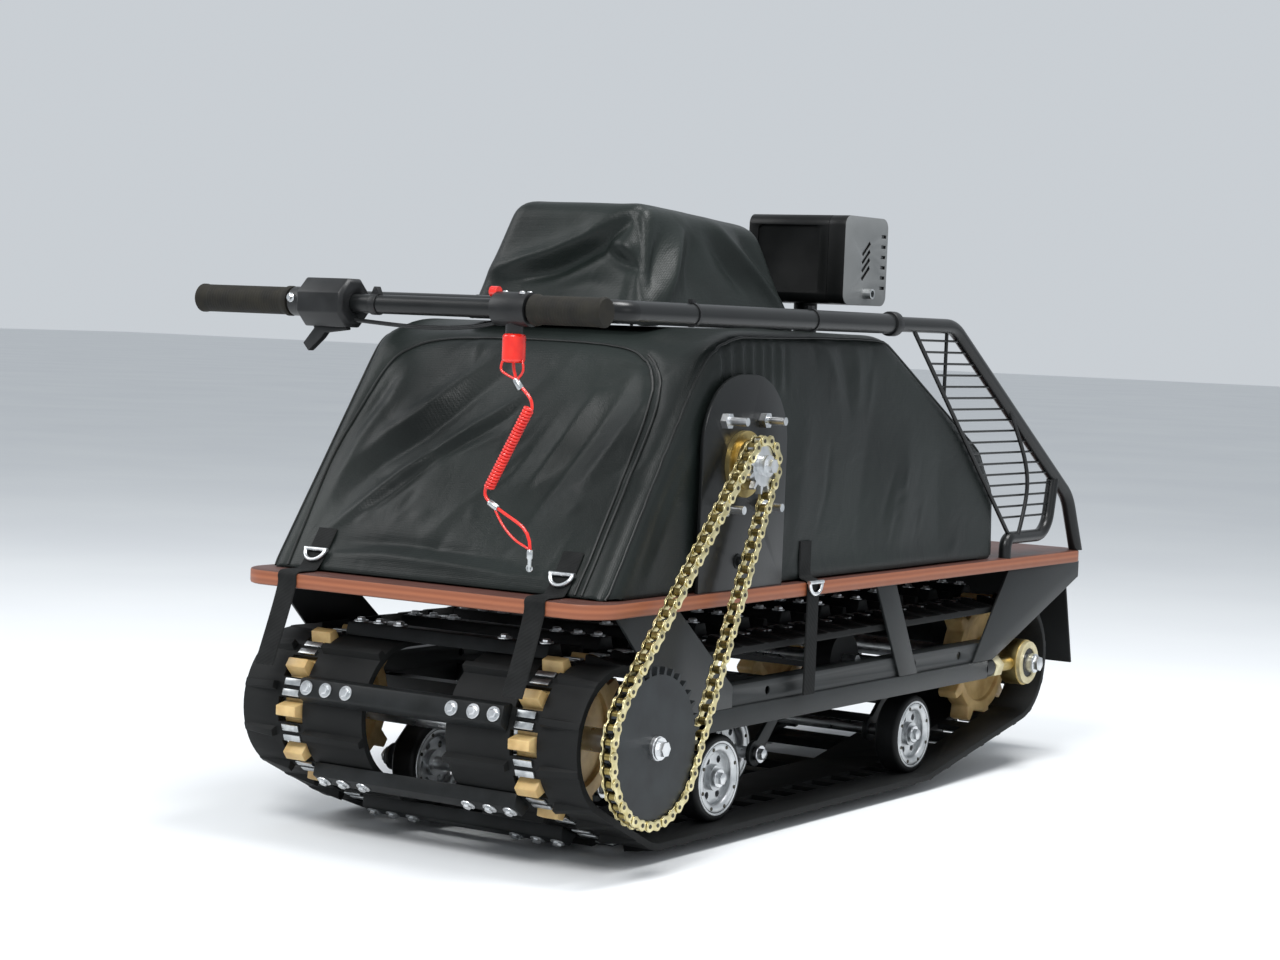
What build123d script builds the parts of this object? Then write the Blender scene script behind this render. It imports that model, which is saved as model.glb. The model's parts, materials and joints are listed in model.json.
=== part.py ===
"""Tracked snow tug: fixed track loop, tube frame, plywood deck, hooded engine, chain drive, sliding handle."""
from build123d import *
from math import acos, atan2, cos, degrees, hypot, pi, sin, sqrt
import os

# Frame: millimetres, +X forward, +Y left, +Z up. Until the export at the end, X counts from the drive shaft.

# Fits
FIT = 0.15                 # clearance on a shaft
REST = 0.3                 # gap where one piece lies on another
SLIDE_FIT = 0.3            # clearance of the telescopic handle

# Hood: its half width drives the deck, rails, chain and handle
HOOD_HALF = 252.0
HOOD_WALL = 6.0
HOOD_ROUND = 34.0
HOOD_REAR = -48.0
# columns: x, z of the hood's side outline above the deck
HOOD_OUTLINE = [
    (HOOD_REAR, 0.0),
    (150.0, 290.0),
    (215.0, 310.0),
    (590.0, 310.0),
    (886.0, 158.0),
    (934.0, 96.0),
    (938.0, 0.0),
]
HOOD_SEAT = 25.0           # width of the hood's sewn-in foot
HOOD_SEAT_H = 20.0
PIPE_GAP = 4.0             # round the exhaust pipe
SHAFT_GAP = 8.0            # round the jackshaft

# Deck and frame
DECK_Z = 298.0             # underside
DECK_T = 18.0
DECK_TOP = DECK_Z + DECK_T
DECK_X = (-88.0, 1228.0)
DECK_HALF = HOOD_HALF + 14.0
DECK_CORNER = 45.0
RAIL = 26.0                # square tube
RAIL_WALL = 2.5
RAIL_OUT = HOOD_HALF - 2.0  # outer face of the upper rail
PLATE_T = 4.0
LOWER_Z = 145.0            # underside of the lower rail
UPPER_Z = LOWER_Z + RAIL
RAIL_TOP = UPPER_Z + RAIL
LOWER_X = (170.0, 925.0)
UPPER_X = (120.0, 941.0)
PLATE_Y = (RAIL_OUT, RAIL_OUT + PLATE_T)
LOWER_Y = (RAIL_OUT + PLATE_T - RAIL, RAIL_OUT + PLATE_T)
UPPER_Y = (RAIL_OUT - RAIL, RAIL_OUT)
RAIL_HOLE_R = 5.5          # for a drawbar's cross pins
RAIL_HOLES_X = (317.0, 840.0)
MEMBER = 24.0              # cross members, square
GUSSET_X = (-30.0, 100.0, 228.0)           # rear gusset: back and front at the deck, front at the rail
STRUT_X = (584.0, 637.0, 658.0, 709.0)     # leaning strut: at the deck, then at the rail
NOSE_X = (880.0, 980.0, 1222.0)            # front gusset: at the rail, at the deck, its tip
NOSE_DROP = 24.0
BRACKET_R = 46.0           # plate round the drive bearing
BRACKET_ARM = 140.0
BEARING_R = 36.0
BEARING_T = 12.0

# Track
PITCH = 52.8               # one shoe
TEETH = 10                 # teeth of a track sprocket
SHOES = 50
BELT_T = 8.0
BELT_IN = 62.0             # inner edge of each belt, from the middle
BELT_OUT = RAIL_OUT - 4.0  # outer edge
WINDOW_IN = 74.0           # row of windows, in from the outer edge
WINDOW_Y = BELT_OUT - WINDOW_IN
WINDOW_L = 30.0            # along the track
WINDOW_W = 38.0
WINDOW_CUT = 6 * BELT_T    # through the belt and a lug's root
TAKE_UP_STEPS = 20         # halvings to find where the idler tightens the track
LUG_H = 9.0
LUG_T = 12.0
LUG_TIP = 8.0
LUG_SINK = 1.5             # root of a lug inside the belt
LUG_PAST = 24.0            # outer lugs run from here past the windows to the belt's edge
LUG_EDGE = WINDOW_Y + LUG_PAST
BAR_L = 34.0               # cross bar, along the track
BAR_CREST = 22.0
BAR_H = 16.0
BAR_CLEAR = 3.0            # of its ends to the windows
BAR_HALF = WINDOW_Y - WINDOW_W / 2 - BAR_CLEAR
BAR_EVERY = 2
TOOTH_BASE = 22.0          # track sprocket's tooth
TOOTH_CROWN = 12.0
TOOTH_RISE = 9.0           # past the belt
TOOTH_ROOT = 6.0
SPROCKET_W = 30.0
SPROCKET_DISH = 7.0        # recess in each face
SPROCKET_RIM = 16.0
SPROCKET_BOSS = 30.0

# Running gear
DRIVE_Z = 152.0
IDLER_Z = 158.0
WHEEL_R = 54.0
WHEEL_W = 34.0
TYRE_ROUND = 6.0
HUB_R = 38.0
HUB_INSET = 3.0
HUB_DISH = 6.0
HUB_BOSS = 16.0
HUB_RIM = 5.0
HUB_HOLES = 6
HUB_HOLE_R = 4.5
WHEEL_IN = 41.0            # outer wheels, in from the belt's edge
WHEEL_Y = BELT_OUT - WHEEL_IN
INNER_WHEEL_OUT = 38.0     # inner wheels, out from the belt's inner edge
INNER_WHEEL_Y = BELT_IN + INNER_WHEEL_OUT
RETURN_R = 38.0
RETURN_X = 593.0
RETURN_W = 28.0
RETURN_CLEAR = 20.0        # to the upper rail
RETURN_Y = UPPER_Y[0] - RETURN_CLEAR - RETURN_W / 2
AXLE_R = 8.0
AXLE_PAST = 6.0            # of an axle past the plates that carry it
SHAFT_R = 14.0
SHAFT_PAST = 46.0          # of the drive shaft past the hood's side
SHAFT_HALF = HOOD_HALF + SHAFT_PAST
WASHER_R = 13.0
WASHER_T = 3.0
BOLT_R = 9.0               # over the corners
BOLT_T = 7.0
# columns: x of the wheel axle, |y| of its wheels
WHEEL_ROWS = [
    (92.0, INNER_WHEEL_Y),
    (256.0, WHEEL_Y),
    (455.0, INNER_WHEEL_Y),
    (768.0, WHEEL_Y),
]
ARM_REACH = 70.0           # cross member ahead of the wheel it carries
ARM_Y = (WHEEL_Y + INNER_WHEEL_Y) / 2
ARM_T = 6.0
ARM_END_R = 17.0
IDLER_EYE_R = 33.0
IDLER_ROD_IN = 60.0        # of the idler's rod inside the rail
IDLER_PAST = 20.0          # of its axle past the rail
IDLER_AXLE_HALF = RAIL_OUT + IDLER_PAST

# Chain drive
CHAIN_P = 15.875
CHAIN_LINKS = 72
CHAIN_OUT = 38.0           # off the hood's side
CHAIN_Y = -(HOOD_HALF + CHAIN_OUT)
CHAIN_H = 6.6              # half height of a link at its pin
CHAIN_WAIST = 4.6          # and between its pins
CHAIN_GAP = 8.0            # between the link plates
LINK_T = 3.6               # inner and outer plate together
ROLLER_R = 4.8
WHEEL_TEETH = 35           # teeth of the large sprocket
PINION_TEETH = 12
PINION_X = 212.0           # the take-up settles it along the line of centres
PINION_Z = 313.0           # above the drive shaft
DISC_T = 7.0
COG_RISE = 4.0             # tooth above the pitch line
COG_BASE = 3.6             # half widths
COG_TIP = 1.4
COG_ROOT = ROLLER_R + REST
SPROCKET_HUB_R = 24.0
PINION_HUB_R = 19.0
DRIVE_PLATE_X = (125.0, 318.0)
DRIVE_PLATE_TOP = 574.0
DRIVE_PLATE_T = 5.0
DRIVE_PLATE_ARC = 85.0
DRIVE_PLATE_OUT = HOOD_HALF + 11.0
FLANGE_R = 40.0
FLANGE_T = 6.0
FLANGE_STEP_R = 30.0
FLANGE_STEP_T = 4.0
STUD_R = 5.0
STUD_DX = 44.0
STUD_DZ = 52.0
STUD_L = 32.0
NUT_R = 10.0
NUT_T = 8.0
JACK_R = 12.0
JACK_END = 8.0             # of the jackshaft past the chain's middle

# Engine and muffler
ENGINE = (200.0, 560.0, 165.0, 590.0)      # rear x, front x, half width, top z
MUFFLER_X = (616.0, 736.0)
MUFFLER_Y = (-165.0, -15.0)
MUFFLER_Z = (666.0, 785.0)
MUFFLER_ROUND = 14.0
MUFFLER_LIP = 4.0          # rolled rim round the rear face
SHIELD_T = 26.0
LOUVRES = 4
LOUVRE_L = 26.0
LOUVRE_W = 5.0
LOUVRE_DEPTH = 4.0
LOUVRE_STEP = 11.0
LOUVRE_LEAN = 40.0
SLITS = 6
SLIT_H = 4.0
SLIT_L = 12.0
SLIT_STEP = 14.0
OUTLET_R = 7.0
OUTLET_L = 12.0
PIPE_R = 16.0
PIPE_BEND = 40.0
PIPE_X = 665.0
PIPE_Y = -80.0
PIPE_Z = 560.0

# Top cover
COVER_X = (182.0, 545.0)
COVER_HALF = 142.0
COVER_TOP = 782.0
COVER_FALL = 22.0          # of its top towards the front
COVER_TAPER = 15.5
COVER_ROUND = 30.0
COVER_CREST = 18.0
HOOD_TOP = DECK_TOP + HOOD_OUTLINE[2][1]

# Bows, grilles, flap
BOW_Y = HOOD_HALF + 5.0
BOW_R = 10.0
BOW_Z = HOOD_TOP + 16.0
BOW_REAR = 0.0
BOW_CORNER_X = 762.0
BOW_KNEE = (1160.0, 398.0)
BOW_FOOT_X = 1200.0
BOW_BEND = 70.0
BRANCH_X = 957.0
BRANCH_Z = 344.0
BRANCH_KNEE = (1090.0, 344.0)
BRANCH_RISE = 18.0         # forward lean of its last run
BRANCH_BENDS = [14.0, 40.0]
BRANCH_R = 9.0
GRILLE_REAR_X = 640.0      # top of the leaning rod
GRILLE_ROD_R = 3.0
WIRE_R = 1.6
WIRE_STEP = 15.5
GRILLE_DROP = 20.0         # under the bow
GRILLE_TOP = BOW_Z - GRILLE_DROP
FLAP_T = 5.0
FLAP_HALF = 236.0
FLAP_TOP_X = 1206.0
FLAP_TIP = (1253.0, 139.0)

# Handle
SLEEVE_R = 13.0
SLEEVE_FRONT = 592.0
SLEEVE_PLUG = 8.0          # solid end of a sleeve past its bend
LOOP_X = -62.0             # rear run of the handle loop
LOOP_BEND = 32.0
BAR_X = -130.0
BAR_Z = BOW_Z - 2.0
BAR_R = 11.0
BAR_REACH = 288.0
GRIP_R = 16.0
GRIP_L = 138.0
GRIP_FLARE = 2.5           # of its outer rim
GRIP_RIM = 8.0
GRIP_CAP = 4.0             # rubber past the bar's end
STEM_R = 9.0
CONTROL_GAP = 3.0          # between a grip and the control beside it
NECK_L = 22.0
NECK_R = 17.0
HOUSING_R = 28.0           # across the flats, halved
HOUSING_L = 68.0
HOUSING_SIDES = 8
HOUSING_CHAMFER = 4.0
HOUSING_Y = (BAR_REACH - GRIP_L - CONTROL_GAP - NECK_L - HOUSING_L, BAR_REACH - GRIP_L - CONTROL_GAP - NECK_L)
LEVER_T = 10.0
# columns: y from the housing's outer end, z from the bar
LEVER_OUTLINE = [
    (5.0, -12.0),
    (-11.0, -30.0),
    (5.0, -48.0),
    (-3.0, -57.0),
    (-21.0, -42.0),
    (-27.0, -35.0),
    (-58.0, -31.0),
    (-58.0, -15.0),
    (-5.0, -5.0),
]
SHORT_GRIP_L = 92.0
SWITCH_L = 46.0
SWITCH_R = 19.0
SWITCH_Y = (SHORT_GRIP_L + CONTROL_GAP - BAR_REACH, SHORT_GRIP_L + CONTROL_GAP + SWITCH_L - BAR_REACH)
STEM_CLEAR = (22.0, 47.0)  # of the stems to the housing and to the switch
STEM_Y = (HOUSING_Y[0] - STEM_CLEAR[0], SWITCH_Y[1] + STEM_CLEAR[1])
SOCKET_R = 10.0            # under the switch, for the cap
SOCKET_H = 8.0
BUTTON_R = 6.0
BUTTON_L = 10.0
CAP_R = 13.0
CAP_H = 32.0
CAP_ROUND = 4.0

# Straps
STRAP_W = 29.0
STRAP_T = 3.0
STRAP_LIFT = 1.0           # off the hood at its foot
STRAP_RISE = 50.0          # up the hood
RING_R = 15.0
RING_WIRE = 2.5
RING_Z = 26.0              # of a ring's bar above the deck
SIDE_STRAP_X = 388.0
REAR_STRAP_Y = 182.0
REAR_STRAP_DROP = 90.0
REAR_STRAP_BACK = 36.0

# Lanyard: places are from the stop switch's middle and from the bar, in the plane x = BAR_X
CORD_R = 2.0
COIL_R = 6.5
CLIP_R = 5.0
COIL_TOP = (-24.0, -108.0)
COIL_LOW = (27.0, -199.0)
COIL_LEAD = (16.0, 14.0)   # straight cord before and after the coil
CORD_DROP = 18.0           # straight down from the cap
# columns: y, z of the loose end after the coil
CORD_END = [(6.0, -226.0), (-32.0, -244.0), (-32.0, -264.0)]
CLIP_END = (-32.0, -288.0)
CORD_BENDS = [14.0, 14.0]
END_BENDS = [8.0, 10.0, 14.0]

# Control cables
CABLE_R = 3.0
CABLE_SIDE = 5.4           # outwards from the bow's middle plane
# columns: x, z of the cable between the bow and its lower branch
CABLE_ROUTE = [(926.0, 542.0), (975.0, 490.0), (1012.0, 434.0), (1006.0, 386.0), (984.0, 344.0)]
CABLE_BENDS = [60.0, 60.0, 50.0]
WIRE_LEAD_R = 2.5
# columns: share of the way from the throttle housing to the stop switch, z from the bar
LEAD_ROUTE = [(0.0, -19.0), (0.13, -21.0), (0.48, -25.0), (0.87, -22.0), (1.0, -15.0)]
LEAD_BENDS = [60.0, 60.0, 30.0]


def box(x, y, z):
    """Box from three (low, high) pairs."""
    size = [high - low for low, high in (x, y, z)]
    middle = [(high + low) / 2 for low, high in (x, y, z)]
    return Pos(*middle) * Box(*size)


def rod_y(x, z, radius, y):
    """Round bar along Y between y[0] and y[1]."""
    return Pos(x, (y[0] + y[1]) / 2, z) * Rot(90, 0, 0) * Cylinder(radius, y[1] - y[0])


def rod(start, end, radius):
    """Round bar between two points."""
    path = Line(start, end)
    return sweep(Plane(origin=start, z_dir=path % 0) * Circle(radius), path=path)


def plate(points, y):
    """Flat plate: outline in X and Z, from y[0] to y[1]."""
    return side_extrude(make_face(Polyline(*points, close=True)), y)


def side_extrude(face, y):
    """A sketch drawn as (x, z), given depth from y[0] to y[1]."""
    return Pos(0, y[1], 0) * extrude(Plane.XZ * face, amount=y[1] - y[0], dir=(0, -1, 0))


def tube(points, radii, radius):
    """Solid round bar along straight runs joined by arcs."""
    path = FilletPolyline(*points, radius=radii)
    return sweep(Plane(origin=path @ 0, z_dir=path % 0) * Circle(radius), path=path)


def both(shape):
    """A shape and its mirror image across the middle plane."""
    return [shape, mirror(shape, about=Plane.XZ)]


def hull(circles, grow):
    """Closed outline round a set of (x, z, radius) circles, each grown by the same amount."""
    rings = [Pos(x, z) * Edge.make_circle(r + grow) for x, z, r in circles]
    return make_hull(rings)


def tangents(circles):
    """Outward normal angle of the straight run after each circle, going round anticlockwise."""
    normals = []
    for i, (x, z, r) in enumerate(circles):
        x2, z2, r2 = circles[(i + 1) % len(circles)]
        heading = atan2(z2 - z, x2 - x)
        normals.append(heading - acos((r - r2) / hypot(x2 - x, z2 - z)))
    return normals


def spans(circles):
    """Arc and straight lengths round the loop: (circle, first normal, arc length, straight length)."""
    normals = tangents(circles)
    rows = []
    for i, (x, z, r) in enumerate(circles):
        x2, z2, r2 = circles[(i + 1) % len(circles)]
        turn = (normals[i] - normals[i - 1]) % (2 * pi)
        straight = sqrt(hypot(x2 - x, z2 - z) ** 2 - (r - r2) ** 2)
        rows.append(((x, z, r), normals[i - 1], r * turn, straight))
    return rows


def loop_length(circles):
    return sum(arc + straight for _, _, arc, straight in spans(circles))


def at(circles, distance):
    """Point and outward normal angle at a distance along the loop."""
    distance %= loop_length(circles)
    for (x, z, r), normal, arc, straight in spans(circles):
        if distance <= arc:
            angle = normal + distance / r
            return x + r * cos(angle), z + r * sin(angle), angle
        distance -= arc
        if distance <= straight:
            angle = normal + arc / r
            along = angle + pi / 2
            return (x + r * cos(angle) + distance * cos(along),
                    z + r * sin(angle) + distance * sin(along), angle)
        distance -= straight
    raise ValueError("distance is off the loop")


def on_loop(circles, distance, shape):
    """Stand a shape (X along the track, Z outwards) on the loop's pitch line."""
    x, z, angle = at(circles, distance)
    return Pos(x, 0, z) * Rot(0, 90 - degrees(angle), 0) * shape


# Track loop: drive sprocket, first and last road wheels, idler, all at the belt's middle
PITCH_R = PITCH * TEETH / (2 * pi)
BEND_R = WHEEL_R + BELT_T / 2
WHEEL_Z = BAR_H + BELT_T + WHEEL_R


def track_circles(idler_x):
    return [
        (0.0, DRIVE_Z, PITCH_R),
        (WHEEL_ROWS[0][0], WHEEL_Z, BEND_R),
        (WHEEL_ROWS[-1][0], WHEEL_Z, BEND_R),
        (idler_x, IDLER_Z, PITCH_R),
    ]


def chain_r(teeth):
    return CHAIN_P * teeth / (2 * pi)


def chain_circles(reach):
    lean = atan2(PINION_Z, PINION_X)
    pinion = (reach * cos(lean), DRIVE_Z + reach * sin(lean), chain_r(PINION_TEETH))
    return [(0.0, DRIVE_Z, chain_r(WHEEL_TEETH)), pinion]


def take_up(circles, start, length):
    """Reach at which a loop has a given length, as its tensioner would set it."""
    reach = start
    for _ in range(TAKE_UP_STEPS):
        reach += (length - loop_length(circles(reach))) / 2
    return reach


IDLER_X = take_up(track_circles, NOSE_X[1], SHOES * PITCH)
LOOP = track_circles(IDLER_X)
CHAIN_LOOP = chain_circles(take_up(chain_circles, hypot(PINION_X, PINION_Z), CHAIN_LINKS * CHAIN_P))
JACK_X, JACK_Z, _ = CHAIN_LOOP[1]
WINDOWS = [(k + 0.5) * PITCH for k in range(SHOES)]
ROLLERS = [k * CHAIN_P for k in range(CHAIN_LINKS)]


def seat_angle(loop, circle, places):
    """Direction of the first place along a loop that lies on one of its circles."""
    for place in places:
        x, z, angle = at(loop, place)
        if abs(hypot(x - circle[0], z - circle[1]) - circle[2]) < FIT:
            return degrees(angle)
    raise ValueError("no seat on this circle")


def wedge(base, tip, low, high, y):
    """Symmetrical tooth or lug: base and tip are its widths, low and high its heights."""
    return plate([(-base / 2, low), (base / 2, low), (tip / 2, high), (-tip / 2, high)], y)


def spin(shape, first, count):
    """Copies of a shape that points up, turned about Y: the first points along an angle in degrees."""
    return [Rot(0, 90 - first - j * 360 / count, 0) * shape for j in range(count)]


def make_belt():
    """Left belt: a loop with a window at each half shoe and rubber lugs on its outside."""
    ring = hull(LOOP, BELT_T / 2) - hull(LOOP, -BELT_T / 2)
    belt = side_extrude(ring, (BELT_IN, BELT_OUT))
    window = Pos(0, WINDOW_Y, 0) * Box(WINDOW_L, WINDOW_W, WINDOW_CUT)
    belt -= [on_loop(LOOP, place, window) for place in WINDOWS]
    low, high = BELT_T / 2 - LUG_SINK, BELT_T / 2 + LUG_H
    edge_lug = wedge(LUG_T, LUG_TIP, low, high, (LUG_EDGE, BELT_OUT))
    inner_lug = wedge(LUG_T, LUG_TIP, low, high, (BELT_IN, BAR_HALF))
    lugs = []
    for k in range(SHOES):
        lugs.append(on_loop(LOOP, k * PITCH, edge_lug))
        if k % BAR_EVERY:
            lugs.append(on_loop(LOOP, k * PITCH, inner_lug))
    return belt + lugs


def make_track_bars():
    low = BELT_T / 2
    bar = wedge(BAR_L, BAR_CREST, low, low + BAR_H, (-BAR_HALF, BAR_HALF))
    return [on_loop(LOOP, k * PITCH, bar) for k in range(0, SHOES, BAR_EVERY)]


def make_track_sprocket(circle):
    """Toothed nylon wheel, dished on both faces, whose teeth stand in the belt's windows; left one."""
    x, z, r = circle
    root = r - BELT_T / 2 - SLIDE_FIT
    y = (WINDOW_Y - SPROCKET_W / 2, WINDOW_Y + SPROCKET_W / 2)
    tooth = wedge(TOOTH_BASE, TOOTH_CROWN, root - TOOTH_ROOT, r + BELT_T / 2 + TOOTH_RISE, y)
    wheel = rod_y(0, 0, root, y) + spin(tooth, seat_angle(LOOP, circle, WINDOWS), TEETH)
    web = (y[0] + SPROCKET_DISH, y[1] - SPROCKET_DISH)
    for face in ((y[0], web[0]), (web[1], y[1])):
        wheel -= rod_y(0, 0, root - SPROCKET_RIM, face) - rod_y(0, 0, SPROCKET_BOSS, face)
    wheel -= rod_y(0, 0, SHAFT_R + FIT, y)
    return Pos(x, 0, z) * wheel


def make_deck():
    face = Rectangle(DECK_X[1] - DECK_X[0], 2 * DECK_HALF)
    face = fillet(face.vertices(), DECK_CORNER)
    return Pos((DECK_X[0] + DECK_X[1]) / 2, 0, DECK_Z) * extrude(face, amount=DECK_T)


def make_tube_rail(x, y, low):
    outer = box(x, y, (low, low + RAIL))
    w = RAIL_WALL
    return outer - box(x, (y[0] + w, y[1] - w), (low + w, low + RAIL - w))


def make_upper_rail():
    """Left upper rail with the holes of the drawbar's cross pins."""
    middle = UPPER_Z + RAIL / 2
    holes = [rod_y(x, middle, RAIL_HOLE_R, (0, RAIL_OUT + RAIL)) for x in RAIL_HOLES_X]
    return make_tube_rail(UPPER_X, UPPER_Y, UPPER_Z) - holes


def make_side_plates():
    """Rear gusset with its bearing bracket, leaning strut, front gusset; left ones."""
    back, front, rail_end = GUSSET_X
    gusset = [(back, DECK_Z), (front, DECK_Z), (rail_end, RAIL_TOP), (rail_end, UPPER_Z), (front, UPPER_Z)]
    rear = plate(gusset, PLATE_Y)
    top, low = DRIVE_Z + BRACKET_R, DRIVE_Z - BRACKET_R
    arm = [(0.0, top), (BRACKET_ARM, RAIL_TOP), (BRACKET_ARM, UPPER_Z), (0.0, low)]
    rear += [plate(arm, PLATE_Y), rod_y(0, DRIVE_Z, BRACKET_R, PLATE_Y)]
    rear -= box((LOWER_X[0] - REST, LOWER_X[1]), (0.0, DECK_HALF), (0.0, UPPER_Z))
    rear -= rod_y(0, DRIVE_Z, SHAFT_R + FIT, PLATE_Y)
    a, b, c, d = STRUT_X
    strut = plate([(a, DECK_Z), (b, DECK_Z), (d, UPPER_Z), (c, UPPER_Z)], PLATE_Y)
    rail, deck, tip = NOSE_X
    under = DECK_Z - NOSE_DROP
    nose = plate([(deck, DECK_Z), (tip, DECK_Z), (tip, under), (UPPER_X[1], UPPER_Z), (rail, UPPER_Z)], PLATE_Y)
    return [rear, strut, nose]


def make_wheel(x, y):
    """Rubber tyre and its dished, holed hub on one road wheel axle."""
    half = WHEEL_W / 2
    tyre = fillet(rod_y(0, 0, WHEEL_R, (y - half, y + half)).edges(), TYRE_ROUND)
    tyre -= rod_y(0, 0, HUB_R, (y - WHEEL_W, y + WHEEL_W))
    low, high = y - half + HUB_INSET, y + half - HUB_INSET
    hub = rod_y(0, 0, HUB_R, (low, high))
    for face in ((low, low + HUB_DISH), (high - HUB_DISH, high)):
        hub -= rod_y(0, 0, HUB_R - HUB_RIM, face) - rod_y(0, 0, HUB_BOSS, face)
    hole = Pos(0, 0, (HUB_R - HUB_RIM + HUB_BOSS) / 2) * rod_y(0, 0, HUB_HOLE_R, (low, high))
    hub -= spin(hole, 0, HUB_HOLES)
    hub -= rod_y(0, 0, AXLE_R + FIT, (low, high))
    return Pos(x, 0, WHEEL_Z) * tyre, Pos(x, 0, WHEEL_Z) * hub


def make_arm(x):
    """Plate that hangs an axle from the cross member ahead of it; left one."""
    y = (ARM_Y - ARM_T / 2, ARM_Y + ARM_T / 2)
    front = x + ARM_REACH
    half = MEMBER / 2
    low = WHEEL_Z - ARM_END_R
    outline = [(x - ARM_END_R, WHEEL_Z), (front - half, LOWER_Z), (front + half, LOWER_Z), (x, low)]
    arm = plate(outline, y) + rod_y(x, WHEEL_Z, ARM_END_R, y)
    return arm - rod_y(x, WHEEL_Z, AXLE_R + FIT, y)


def make_running_gear(nodes):
    """Wheels on axles hung by plates from the cross members; return rollers; idler on its sliding eyes."""
    tyres, hubs, axles, arms, members = [], [], [], [], []
    for x, y in WHEEL_ROWS:
        for side in (1, -1):
            tyre, hub = make_wheel(x, side * y)
            tyres.append(tyre)
            hubs.append(hub)
        end = max(y + WHEEL_W / 2, ARM_Y + ARM_T / 2 + AXLE_PAST)
        axles.append(rod_y(x, WHEEL_Z, AXLE_R, (-end, end)))
        arms += both(make_arm(x))
        front = (x + ARM_REACH - MEMBER / 2, x + ARM_REACH + MEMBER / 2)
        members.append(box(front, (-LOWER_Y[0], LOWER_Y[0]), (LOWER_Z, LOWER_Z + MEMBER)))
    nodes["road_wheel_tyres"], nodes["road_wheel_hubs"] = tyres, hubs
    nodes["road_axles"], nodes["wheel_arms"], nodes["cross_members"] = axles, arms, members
    roller_z = DRIVE_Z + PITCH_R - BELT_T / 2 - RETURN_R
    roller = rod_y(RETURN_X, roller_z, RETURN_R, (RETURN_Y - RETURN_W / 2, RETURN_Y + RETURN_W / 2))
    nodes["return_rollers"] = both(roller - rod_y(RETURN_X, roller_z, AXLE_R + FIT, (0, RAIL_OUT)))
    nodes["return_axle"] = rod_y(RETURN_X, roller_z, AXLE_R, (-UPPER_Y[0], UPPER_Y[0]))
    middle = (LOWER_Y[0] + LOWER_Y[1]) / 2
    rod_z = LOWER_Z + RAIL / 2
    eye = rod_y(IDLER_X, rod_z, IDLER_EYE_R, LOWER_Y)
    eye += rod((LOWER_X[1] - IDLER_ROD_IN, middle, rod_z), (IDLER_X, middle, rod_z), RAIL / 2 - RAIL_WALL - FIT)
    nodes["idler_arms"] = both(eye - rod_y(IDLER_X, rod_z, SHAFT_R + FIT, LOWER_Y))
    nodes["idler_axle"] = rod_y(IDLER_X, rod_z, SHAFT_R, (-IDLER_AXLE_HALF, IDLER_AXLE_HALF))


def link_outline(side):
    """Edge of the link plates, bulged at each pin, waisted between; side is 1 outside the loop, -1 inside."""
    points = []
    for k in range(2 * CHAIN_LINKS):
        x, z, angle = at(CHAIN_LOOP, k * CHAIN_P / 2)
        reach = side * (CHAIN_WAIST if k % 2 else CHAIN_H)
        points.append((x + reach * cos(angle), z + reach * sin(angle)))
    return make_face(Polyline(*points, close=True))


def make_chain():
    """Roller chain: two rows of link plates and the rollers between them."""
    ring = link_outline(1) - link_outline(-1)
    half = CHAIN_GAP / 2
    near = side_extrude(ring, (CHAIN_Y - half - LINK_T, CHAIN_Y - half))
    far = side_extrude(ring, (CHAIN_Y + half, CHAIN_Y + half + LINK_T))
    reach = half + LINK_T / 4
    width = (CHAIN_Y - reach, CHAIN_Y + reach)
    rollers = [rod_y(*at(CHAIN_LOOP, place)[:2], ROLLER_R, width) for place in ROLLERS]
    return near + [far] + rollers


def make_chain_wheel(circle, teeth, bore, hub_r, hub_end):
    """Sprocket whose teeth stand between the rollers; its hub reaches in to hub_end."""
    x, z, r = circle
    y = (CHAIN_Y - DISC_T / 2, CHAIN_Y + DISC_T / 2)
    root = r - COG_ROOT
    cog = wedge(2 * COG_BASE, 2 * COG_TIP, root - ROLLER_R, r + COG_RISE, y)
    wheel = rod_y(0, 0, root, y) + spin(cog, seat_angle(CHAIN_LOOP, circle, ROLLERS) + 180 / teeth, teeth)
    wheel += rod_y(0, 0, hub_r, (y[1], hub_end))
    wheel -= rod_y(0, 0, bore, (y[0], hub_end))
    return Pos(x, 0, z) * wheel


def make_drive_plate():
    x0, x1 = DRIVE_PLATE_X
    corners = [(x0, DECK_TOP), (x1, DECK_TOP), (x1, DRIVE_PLATE_TOP), (x0, DRIVE_PLATE_TOP)]
    outline = make_face(Polyline(*corners, close=True))
    outline = fillet(outline.vertices().sort_by(Axis.Y)[-2:], DRIVE_PLATE_ARC)
    y = (-DRIVE_PLATE_OUT, -DRIVE_PLATE_OUT + DRIVE_PLATE_T)
    return side_extrude(outline, y) - rod_y(JACK_X, JACK_Z, JACK_R + FIT, y)


def make_flange():
    """Round stepped housing of the jackshaft's bearing."""
    face = -DRIVE_PLATE_OUT
    step = face - FLANGE_T
    body = rod_y(JACK_X, JACK_Z, FLANGE_R, (step, face))
    body += rod_y(JACK_X, JACK_Z, FLANGE_STEP_R, (step - FLANGE_STEP_T, step))
    return body - rod_y(JACK_X, JACK_Z, JACK_R + FIT, (step - FLANGE_STEP_T, face))


def hexagon(x, z, radius, y):
    return side_extrude(Pos(x, z) * RegularPolygon(radius, 6), y)


def make_studs():
    """Four studs through the drive plate, each with its nut."""
    face = -DRIVE_PLATE_OUT
    studs = []
    for dx in (-STUD_DX, STUD_DX):
        for dz in (-STUD_DZ, STUD_DZ):
            x, z = JACK_X + dx, JACK_Z + dz
            nut = hexagon(x, z, NUT_R, (face - NUT_T, face))
            studs.append(nut + rod_y(x, z, STUD_R, (face - STUD_L, face)))
    return studs


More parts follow.
